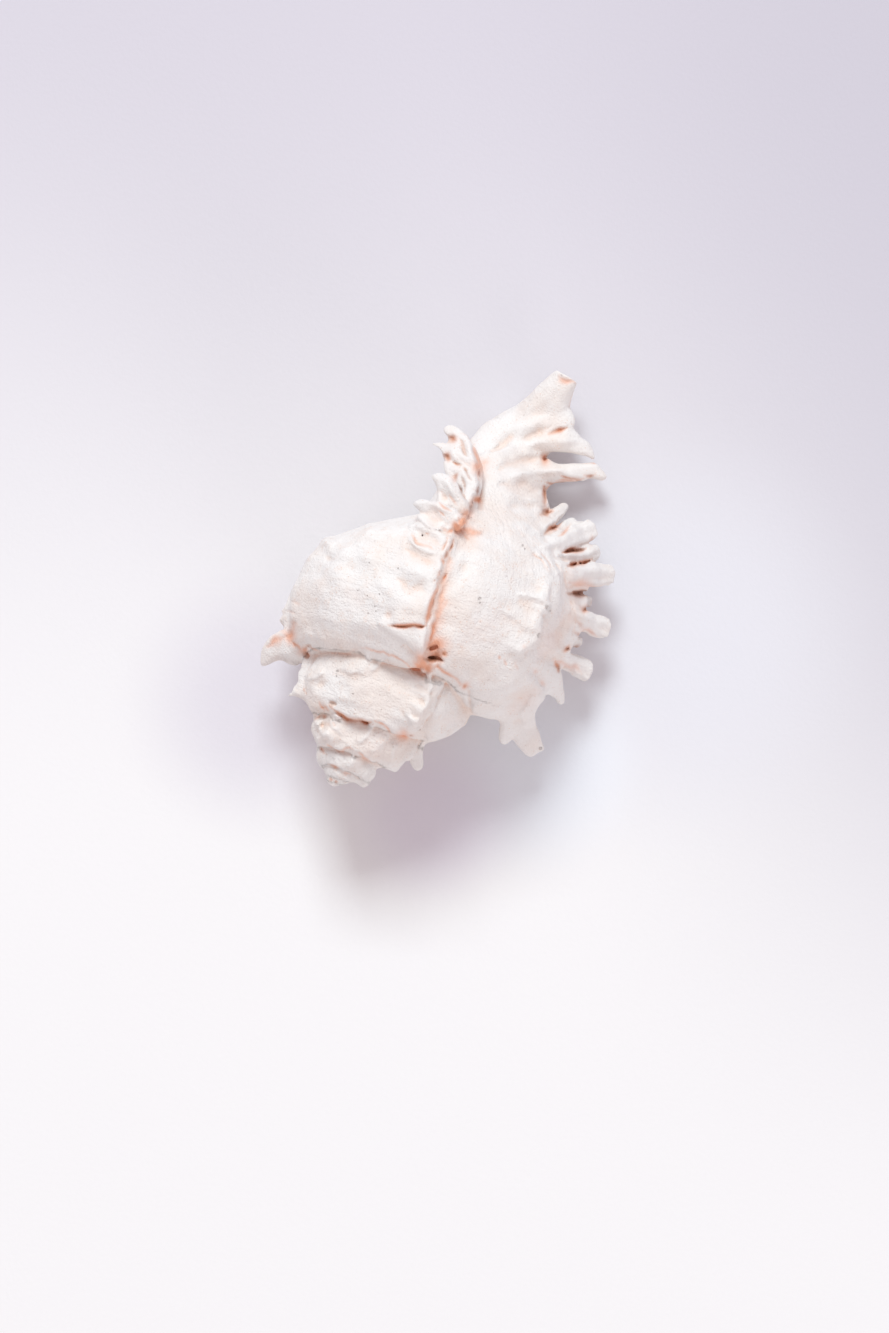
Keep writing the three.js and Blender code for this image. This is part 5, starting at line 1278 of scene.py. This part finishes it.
# drawn lines waver a little: each place is read slightly beside itself
waver_x = random_map(5, 0.36, 21) + random_map(1.8, 0.12, 22)
waver_y = random_map(5, 0.36, 23) + random_map(1.8, 0.12, 24)
strength = np.clip(1 + random_map(3, 0.28, 25), 0.35, 1.7)
grid_x = (LOW[0] + np.arange(CELLS[0]) * VOXEL)[:, None] + waver_x
grid_y = (LOW[1] + np.arange(CELLS[1]) * VOXEL)[None, :] + waver_y
relief = np.zeros(CELLS[:2])
for line, half_width, height, _, _ in CREASES:
    relief += height * nearness(grid_x, grid_y, line, half_width)
relief *= strength
for line, reach, height, step in LEDGES:
    relief += height * ledge(grid_x, grid_y, line, reach, step)
# a groove takes at most this share of the layer that it lies in
DEEPEST_SHARE = 0.3
height_map, layer = tops(), thickness()
relief = np.maximum(relief, -DEEPEST_SHARE * layer)
# beside the beaks the view from above meets the flank far below them, which stays plain
BEAKS_X, BEAKS_FROM_Y, BEAKS_TO_Y, FLANK_TOP = -8, 56, 84, 25
beside = (eased((BEAKS_X - grid_x) / 1.5) * eased((grid_y - BEAKS_FROM_Y) / 4)
          * eased((BEAKS_TO_Y - grid_y) / 3))
relief *= 1 - beside * (1 - eased((height_map - FLANK_TOP) / 4))
print(len(LEDGES), "ledges and", len(HOLES), "holes")
print("the relief runs from", round(float(relief.min()), 1), "to", round(float(relief.max()), 1), "mm")

# where the marks leave colour, for the mesh to keep its points there
painted_map = np.zeros(CELLS[:2])
for line, half_width, _, pink_share, brown_share in CREASES:
    if pink_share or brown_share:
        painted_map = np.maximum(painted_map, nearness(grid_x, grid_y, line, half_width + 0.4))

# %% Relief and wear
# seed, then size in cells and height in millimetres of the wear's lumps
WEAR_SEED, WEAR = 7, ((9.0, 0.22), (3.2, 0.08))
HOLE_BLEND, LAST_BLUR = 0.25, 0.5
FADE_DEPTH, FADE_SHARE = 4, 0.35

# the marks reach only the surface that is seen from above, and fade below it, sooner where it is thin
grid_z = (LOW[2] + np.arange(CELLS[2]) * VOXEL)[None, None, :].astype(np.float32)
depth_below = height_map[:, :, None].astype(np.float32) - grid_z
fade_from = np.minimum(FADE_DEPTH, FADE_SHARE * layer).astype(np.float32)[:, :, None]
field -= relief[:, :, None].astype(np.float32) * (1 - eased(depth_below / fade_from - 1)).astype(np.float32)
hole_heights = tops()
for rows, _, _ in HOLES:
    carve(rows, HOLE_BLEND, hole_heights)

random = np.random.default_rng(WEAR_SEED)
for cells, height in WEAR:
    # the lumps are drawn on a coarser grid, and then read between its places
    coarse = max(1, int(cells / 3))
    shape = tuple(int(n / coarse) + 2 for n in CELLS)
    lumps = blurred(random.standard_normal(shape).astype(np.float32), cells / coarse)
    lumps *= height / lumps.std()
    for axis in range(3):
        places = np.arange(CELLS[axis]) / coarse
        i = places.astype(int)
        share = (places - i).astype(np.float32).reshape([-1 if k == axis else 1 for k in range(3)])
        lumps = np.take(lumps, i, axis) * (1 - share) + np.take(lumps, i + 1, axis) * share
    field += lumps
# the paper cuts the flats that rubbing has made, and a slight blur rounds every edge
field = np.maximum(field, -grid_z)
field = blurred(field, LAST_BLUR)
print("highest point", round(float(height_map.max()), 1), "mm")

# %% [markdown]
# ## The skin
#
# The grid's surface becomes a mesh of small quads. It is far finer than a flat patch needs, so Decimate
# merges faces where the surface hardly bends and keeps them in the frills and grooves. A vertex group
# tells it where colour changes too, because the mesh carries the colour's masks.

# %% Skin
PLAN_TO_FRAME = np.array([-4.45, -52.5, 0.0])
MOST_TRIANGLES = 197000
WEIGHT_STEPS, WEIGHT_FACTOR = 10, 0.004


def mesh_of(points, faces, name):
    mesh = bpy.data.meshes.new(name)
    mesh.vertices.add(len(points))
    mesh.vertices.foreach_set("co", np.ascontiguousarray(points, dtype=np.float32).ravel())
    mesh.loops.add(faces.size)
    mesh.loops.foreach_set("vertex_index", np.ascontiguousarray(faces, dtype=np.int32).ravel())
    mesh.polygons.add(len(faces))
    mesh.polygons.foreach_set("loop_start", np.arange(0, faces.size, faces.shape[1], dtype=np.int32))
    mesh.update(calc_edges=True)
    return mesh


def vectors_of(items, key):
    """One vector of each item of a mesh, as rows of an array."""
    values = np.empty(len(items) * 3, dtype=np.float32)
    items.foreach_get(key, values)
    return values.reshape(-1, 3).astype(float)


def largest_part(points, faces):
    """The faces of the outer skin, without the specks that are shut inside the shell."""
    label = np.arange(len(points))
    while True:
        lowest = label[faces].min(axis=1)
        new = label.copy()
        for k in range(faces.shape[1]):
            np.minimum.at(new, faces[:, k], lowest)
        new = new[new]
        if (new == label).all():
            break
        label = new
    names, counts = np.unique(label[faces[:, 0]], return_counts=True)
    kept = faces[label[faces[:, 0]] == names[counts.argmax()]]
    used, renamed = np.unique(kept, return_inverse=True)
    return points[used], renamed.reshape(kept.shape)


skin_grid = openvdb.FloatGrid(FAR)
skin_grid.copyFromArray(field, ijk=(0, 0, 0), tolerance=0.0)
skin_grid.transform = to_plan
skin_points, _, skin_quads = skin_grid.convertToPolygons(isovalue=0.0, adaptivity=0.0)
skin_points, skin_quads = largest_part(skin_points, skin_quads.astype(np.int64))
skin_mesh = mesh_of(skin_points, skin_quads, "skin")
print(len(skin_quads), "quads")

# %% Shell object
shell = bpy.data.objects.new("murex_shell", skin_mesh)
bpy.context.collection.objects.link(shell)
plan_cells = tuple(np.round((skin_points[:, k] - LOW[k]) / VOXEL).astype(int) for k in (0, 1))
painted = np.clip(painted_map[plan_cells], 0, 1)
plain = shell.vertex_groups.new(name="plain")
for step in range(WEIGHT_STEPS):
    chosen = np.flatnonzero(np.minimum((painted * WEIGHT_STEPS).astype(int), WEIGHT_STEPS - 1) == step)
    plain.add(chosen.tolist(), 1 - step / (WEIGHT_STEPS - 1), "REPLACE")
thin = shell.modifiers.new("thin", "DECIMATE")
thin.ratio = min(1.0, MOST_TRIANGLES / (2 * len(skin_quads)))
thin.vertex_group = "plain"
thin.vertex_group_factor = WEIGHT_FACTOR
thinned = bpy.data.meshes.new_from_object(shell.evaluated_get(bpy.context.evaluated_depsgraph_get()))
shell.modifiers.clear()
shell.vertex_groups.clear()
shell.data = thinned
shell_points = vectors_of(thinned.vertices, "co")
thinned.vertices.foreach_set("co", ((shell_points + PLAN_TO_FRAME) * MM).astype(np.float32).ravel())
thinned.polygons.foreach_set("use_smooth", np.ones(len(thinned.polygons), dtype=bool))
thinned.update()
thinned.materials.clear()
thinned.materials.append(shell_material)
print(sum(len(face.vertices) - 2 for face in thinned.polygons), "triangles")

# %% [markdown]
# ## What each spot knows about itself
#
# The material needs more than a position. Each point of the mesh gets a few numbers: how pink and how
# brown the marks left it, how sheltered it is, whether it is seen from above, how level the surface is
# there, how near it is to the glazed mouth, and where it lies on the coil. They ride on the mesh as
# attributes.

# %% Attributes
def sampled(values, points):
    """The grid's values at points, between the cells."""
    places = (points - LOW) / VOXEL
    i = np.clip(np.floor(places).astype(int), 0, np.array(CELLS) - 2)
    t = np.clip(places - i, 0, 1)
    total = np.zeros(len(points))
    for dx in (0, 1):
        for dy in (0, 1):
            for dz in (0, 1):
                weight = (abs(1 - dx - t[:, 0])) * (abs(1 - dy - t[:, 1])) * (abs(1 - dz - t[:, 2]))
                total += weight * values[i[:, 0] + dx, i[:, 1] + dy, i[:, 2] + dz]
    return total


def coil_place(points):
    """For each point, its turn, the length down the whorl from its suture, and how near the coil is."""
    away = points - APEX
    down = away @ AXIS
    left, up = away @ LEFT, away @ UP
    out = np.hypot(left, up)
    base = (np.arctan2(up, left) / (2 * math.pi)) % 1.0 - 0.5
    radii, drops = zip(*FLANK)
    best = np.full(len(points), ENDLESS)
    turn, girth = np.zeros(len(points)), np.zeros(len(points))
    for whorl in range(-6, 1):
        here = base + whorl
        size = radius_at(here)
        drop = (down - drop_at(here)) / size
        # a drop beyond the outline counts as far away
        beyond = np.maximum(0, np.abs(drop - 0.68) - 0.76)
        miss = np.abs(out / size - np.interp(drop, drops, radii)) * size + 50 * beyond * size
        nearer = miss < best
        best = np.where(nearer, miss, best)
        turn, girth = np.where(nearer, here, turn), np.where(nearer, drop * size, girth)
    return turn, girth, eased(1 - (best - 1.5) / 2.5)


# how much of a small ball round the point is solid: more than half of it in a hollow, less on an edge
SHELTER_REACH, NOOK_REACH = 1.1, 0.45
BELOW_TOP = 2.5
GLAZE_FROM, GLAZE_FADE = 0.8, 2.2
solid = np.clip(0.5 - field / (2 * VOXEL), 0, 1).astype(np.float32)
sheltered = sampled(blurred(solid, SHELTER_REACH / VOXEL), shell_points)
nooks = sampled(blurred(solid, NOOK_REACH / VOXEL), shell_points)
x, y, z = shell_points.T
above = 1 - eased((over(tops(), x, y) - z - BELOW_TOP) / BELOW_TOP)
pink, brown = np.zeros(len(x)), np.zeros(len(x))
wavering_x, wavering_y = x + over(waver_x, x, y), y + over(waver_y, x, y)
marks = [(line, half_width, *stain) for line, half_width, _, *stain in CREASES]
marks += [([place[:2] for place in rows], rows[0][2] * 1.3, *stain) for rows, *stain in HOLES]
for line, half_width, pink_share, brown_share in marks:
    if pink_share:
        spread = half_width * (0.8 + 0.4 * pink_share) + 0.25 * pink_share ** 3
        pink = np.maximum(pink, pink_share * nearness(wavering_x, wavering_y, line, spread))
    if brown_share:
        brown = np.maximum(brown, brown_share * nearness(wavering_x, wavering_y, line, half_width * 0.8))
pink *= np.clip(over(strength, x, y), 0.7, 1.25)
where, mouth_values = distances(hollow)
mouth_field = np.full(CELLS, FAR, dtype=np.float32)
mouth_field[where] = mouth_values
glaze = 1 - eased((sampled(mouth_field, shell_points) - GLAZE_FROM) / GLAZE_FADE)
turn, girth, whorl = coil_place(shell_points)
level = vectors_of(thinned.vertex_normals, "vector")[:, 2]
for name, values in dict(level=level, pink=pink * above, brown=brown * above, sheltered=sheltered, nook=nooks,
                         above=above, glaze=glaze, turn=turn, girth=girth, whorl=whorl).items():
    thinned.attributes.new(name, "FLOAT", "POINT").data.foreach_set("value", values.astype(np.float32))
print("sheltered from", round(float(sheltered.min()), 2), "to", round(float(sheltered.max()), 2))

# %% [markdown]
# ## Bleached shell
#
# Sun and sea have bleached the outside to a dull, chalky white. The old colour stays where nothing rubs:
# salmon pink in the crevices, brown where dirt sits deep, and a pink glaze round the mouth. Shade is painted
# too: the deepest hollows are painted dark brown, nooks, sheltered spots and the side not seen from above
# are painted darker and pinker, and edges lighter. Fine threads run along the whorl and fine growth lines
# run down it, and small pits are scattered over both. All of it is drawn with noise and with the attributes
# above, so no picture is needed.

# %% Colours
# BLUSH is also the colour of the painted shade in nooks, in sheltered spots and on the side not seen from
# above
CHALK, CREAM, BLUSH = (0.865, 0.865, 0.85), (0.85, 0.79, 0.74), (0.82, 0.69, 0.61)
SALMON, DIRT_AND_SHADE_BROWN, SOOT = (0.85, 0.38, 0.21), (0.22, 0.085, 0.04), (0.3, 0.26, 0.24)
GLAZE = (0.87, 0.5, 0.43)
# dark specks seen from above: place and half width
SPECKS = [(8, 52, 0.3), (8.5, 51.2, 0.2), (10.5, 67, 0.25), (11.3, 66.6, 0.2), (22, 57.8, 0.5),
          (22.8, 57.4, 0.3), (23.4, 51.4, 0.5), (-16.3, 40.3, 0.16), (-13.8, 40.4, 0.18), (-11.7, 42, 0.16),
          (-11.3, 39.1, 0.18), (-11.7, 37.1, 0.18), (-10.5, 38.3, 0.16), (-10.9, 48.9, 0.18),
          (-17.1, 46.9, 0.16), (-30.2, 42, 0.4), (-11.6, 22.6, 0.3), (-11.2, 21.6, 0.2), (-6, 20, 0.2),
          (-8.7, 89.6, 0.25), (36.4, 29.8, 0.4), (10.4, 20.3, 0.4)]

paint = Bench(shell_material.node_tree)
shell_shader = paint.tree.nodes["Principled BSDF"]


def known(name):
    return paint.node("ShaderNodeAttribute", {"attribute_name": name}, None, "Fac")


def tinted(share, a, b):
    """Colour a with a share of colour b over it."""
    a, b = ((*c, 1) if isinstance(c, tuple) else c for c in (a, b))
    return share.bench.node("ShaderNodeMix", {"data_type": "RGBA"}, {0: share, 6: a, 7: b}, 2)


def cells(scale, out):
    return paint.node("ShaderNodeTexVoronoi", None, {"Vector": place, "Scale": scale}, out)


def capped(value):
    return paint.maths("MINIMUM", paint.maths("MAXIMUM", value, 0.0), 1.0)


PIT_CELLS, FRECKLE_CELLS = 0.62, 1.3
# from here on a place is in millimetres
place = paint.node("ShaderNodeTexCoord", None, None, "Object") * 1000.0
broad = paint.noise(place, 0.09, 4.0)
patch = paint.noise(place, 0.45, 4.0)
grain = paint.noise(place, 2.2, 5.0)
whorl_share = known("whorl")
threads = paint.noise(paint.xyz(known("turn") * 60, known("girth") * 1.3, 0), 1.0, 3.0)
growth = paint.noise(paint.xyz(known("turn") * 190, known("girth") * 0.12, 3), 1.0, 3.0)
# a pit lies in one cell of four, and only where the broad patches allow it
chosen = paint.smooth(paint.split(cells(PIT_CELLS, "Color"))[0], 0.72, 0.74) * paint.smooth(broad, 0.4, 0.6)
pits = chosen * (1 - paint.smooth(cells(PIT_CELLS, "Distance") + (grain - 0.5) * 0.12, 0.06, 0.17))
freckles = (1 - paint.smooth(cells(FRECKLE_CELLS, "Distance"), 0.12, 0.3)) * paint.smooth(patch, 0.5, 0.6)
print("noise for patches, grain, threads, growth lines, pits and freckles")

# %% Surface
PIT_BROWN, FRECKLE_BROWN, PALE_GLAZE = (0.55, 0.38, 0.3), (0.72, 0.46, 0.34), (0.9, 0.62, 0.54)
DULL, GLOSSIER, GRAIN_ROUGH = 0.72, 0.48, 0.2

hollowed, nook, glazed, hidden = known("sheltered"), known("nook"), known("glaze"), 1 - known("above")
salmon = capped(known("pink") * (0.75 + patch * 0.7) + paint.smooth(nook, 0.62, 0.82) * 0.2
                + paint.smooth(hollowed, 0.66, 0.86) * (0.4 + hidden * 0.3)
                + paint.smooth(nook, 0.53, 0.66) * hidden * 0.3)
# the marks' brown stains, and painted shade: the deepest hollows are painted dark brown, where dirt sits and
# shade falls
dirt_and_shade = capped(known("brown") * (0.55 + patch * 0.9) + paint.smooth(hollowed, 0.84, 0.96) * 0.9)
flat = place * (1.0, 1.0, 0.0)
nearest = 9.0
for speck_x, speck_y, half in SPECKS:
    speck_place = (speck_x + PLAN_TO_FRAME[0], speck_y + PLAN_TO_FRAME[1], 0.0)
    nearest = paint.maths("MINIMUM", nearest, paint.vector("DISTANCE", flat, speck_place) / half)
speck = 1 - paint.smooth(nearest + (grain - 0.5) * 3, 0.6, 1.3)

# each coat over the one before it: how much of it shows, and its colour
COATS = [
    (paint.smooth(broad, 0.42, 0.66) * 0.75, CREAM),
    (paint.smooth(patch, 0.5, 0.72) * 0.28 * whorl_share, BLUSH),
    (paint.smooth(growth * 0.5 + threads * 0.5, 0.5, 0.68) * (0.16 + hidden * 0.4) * whorl_share, BLUSH),
    # partly painted shade: the side not seen from above is tinted darker and pinker, and it is also less
    # bleached there
    (hidden * (0.3 + paint.smooth(broad + patch * 0.5, 0.6, 0.95) * 0.55), BLUSH),
    (paint.smooth(grain, 0.56, 0.8) * 0.25, CREAM),
    # painted shade: sheltered spots and nooks are tinted darker and pinker, where shade falls in them
    (paint.smooth(hollowed, 0.5, 0.66) * 0.4, BLUSH),
    (paint.smooth(nook, 0.5, 0.64) * 0.35, BLUSH),
    # edges are painted whiter: a painted highlight that adds contrast, and rubbed wear
    (paint.smooth(nook * -1, -0.47, -0.4) * 0.5, CHALK),
    (pits * 0.3, PIT_BROWN),
    (freckles * 0.4, FRECKLE_BROWN),
    (salmon * 0.85, SALMON),
    (dirt_and_shade * 0.9, DIRT_AND_SHADE_BROWN),
    (speck * known("above") * paint.smooth(known("level"), 0.3, 0.6) * 0.5, SOOT),
    (glazed * 0.9, tinted(paint.smooth(patch, 0.3, 0.7), GLAZE, PALE_GLAZE)),
]
body = CHALK
for share, colour in COATS:
    body = tinted(share, body, colour)

# the bump is in millimetres, and the glaze fills most of it
height = ((grain - 0.5) * 0.32 + (patch - 0.5) * (0.14 + 0.22 * whorl_share)
          + ((threads - 0.5) * 0.22 + (growth - 0.5) * 0.2) * whorl_share - pits * 0.12
          - speck * 0.1) * (1 - glazed * 0.85)
bump = paint.node("ShaderNodeBump", None, {"Strength": 1.0, "Distance": MM, "Height": height}, "Normal")
roughness = DULL - glazed * GLOSSIER + (grain - 0.5) * GRAIN_ROUGH
for name, wire in (("Base Color", body), ("Roughness", roughness), ("Normal", bump)):
    paint.tree.links.new(wire.socket, shell_shader.inputs[name])
shell_shader.inputs["Specular IOR Level"].default_value = 0.35
print(len(COATS), "coats of colour and", len(paint.tree.nodes), "nodes in the shell's material")

# %% [markdown]
# ## Paper and light
#
# The shell lies on a sheet of pale, faintly violet paper. Its colour is painted lighter towards the bottom of
# the picture and darker at the top and at the right, as painted light falloff. A large soft light stands
# beyond the top of the picture, so the shade falls towards the bottom. A weak low light opposite it and a
# pale room fill the shadows, a few soft patches on the paper round the shell are painted shadows, and one
# lightens the shade at its lower right and tints it violet, which such a room doesn't give it.

# %% Paper
paper_material = bpy.data.materials.new("paper")
paper_material.use_nodes = True
paper = Bench(paper_material.node_tree)
paper_shader = paper.tree.nodes["Principled BSDF"]
paper_shader.inputs["Roughness"].default_value = 0.9
paper_shader.inputs["Specular IOR Level"].default_value = 0.2
PAPER_SHADED_FAR, PAPER_LIT_NEAR, PAPER_SIDE_SHADE = (0.645, 0.632, 0.7), (0.85, 0.86, 0.87), (0.54, 0.53, 0.6)
# patches of painted shadow and light: right, up and reach in metres, share, colour
PAPER_SHADE_PATCHES = [(0.045, -0.01, 0.055, 0.9, (0.75, 0.765, 0.82)),
                 (0.013, -0.038, 0.031, 0.9, (0.82, 0.88, 0.95)),
                 (-0.046, -0.025, 0.036, 0.85, (0.7, 0.685, 0.75)),
                 (-0.008, -0.05, 0.024, 0.65, (0.71, 0.67, 0.78))]
SHEET_HALF = 2.5

spot = paper.node("ShaderNodeTexCoord", None, None, "Object")
rightward = paper.vector("DOT_PRODUCT", spot, tuple(picture_right))
upward = paper.vector("DOT_PRODUCT", spot, tuple(picture_up))

# painted light falloff: the paper is painted lighter towards the bottom of the picture and darker towards the
# top
tone = tinted(paper.smooth(upward * -1 + rightward * -0.1, -0.14, 0.07), PAPER_SHADED_FAR, PAPER_LIT_NEAR)
# painted shade: the paper is painted darker towards the right of the picture
side_shade_share = paper.smooth(rightward + upward * 0.15, 0.0, 0.12) * paper.smooth(upward, -0.16, 0.0) * 0.6
tone = tinted(side_shade_share, tone, PAPER_SIDE_SHADE)
# painted shadows and light: three patches darken the paper beside and under the shell, and one lightens the
# shade at its lower right and tints it violet
for right, up, reach, share, colour in PAPER_SHADE_PATCHES:
    away = paper.vector("DISTANCE", spot, tuple(picture_right * right + picture_up * up))
    tone = tinted((1 - paper.smooth(away, reach * 0.2, reach)) * share, tone, colour)
fibres = paper.noise(spot, 900.0, 3.0)
tone = tinted((fibres - 0.5) * 0.06, tone, PAPER_SHADED_FAR)
bump = paper.node("ShaderNodeBump", None, {"Strength": 0.4, "Distance": 0.1 * MM, "Height": fibres}, "Normal")
paper.tree.links.new(tone.socket, paper_shader.inputs["Base Color"])
paper.tree.links.new(bump.socket, paper_shader.inputs["Normal"])

corners = np.array([(-1, -1, 0), (1, -1, 0), (1, 1, 0), (-1, 1, 0)]) * SHEET_HALF
sheet = mesh_of(corners, np.array([[0, 1, 2, 3]]), "paper")
sheet.materials.append(paper_material)
paper_sheet = bpy.data.objects.new("paper", sheet)
bpy.context.collection.objects.link(paper_sheet)
print("paper", 2 * SHEET_HALF, "m wide")

# %% Lights
def soft_light(name, right, up, height, size, watts, colour):
    """A square light, placed by the picture's right and up in metres, that faces the shell."""
    data = bpy.data.lights.new(name, "AREA")
    data.size, data.energy, data.color = size, watts, colour
    light = bpy.data.objects.new(name, data)
    bpy.context.collection.objects.link(light)
    light.location = picture_right * right + picture_up * up + Vector((0, 0, height))
    light.rotation_euler = (-light.location).to_track_quat("-Z", "Y").to_euler()
    light.visible_camera = False


soft_light("window", -0.3, 2.7, 3.1, 1.3, 112, (0.91, 0.99, 1.0))
soft_light("fill", 1.4, -2.5, 1.0, 1.6, 18, (1.0, 0.97, 0.95))
ROOM_COLOUR, ROOM_STRENGTH = (1.0, 0.88, 0.9, 1), 0.64
world = bpy.data.worlds.new("room")
bpy.context.scene.world = world
world.use_nodes = True
background = world.node_tree.nodes["Background"]
background.inputs["Color"].default_value = ROOM_COLOUR
background.inputs["Strength"].default_value = ROOM_STRENGTH
bpy.context.scene.view_settings.view_transform = "Standard"
print("a soft window, a low fill opposite it and a pale room")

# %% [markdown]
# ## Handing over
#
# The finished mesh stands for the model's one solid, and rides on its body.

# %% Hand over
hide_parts("shell")
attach(shell, "root")
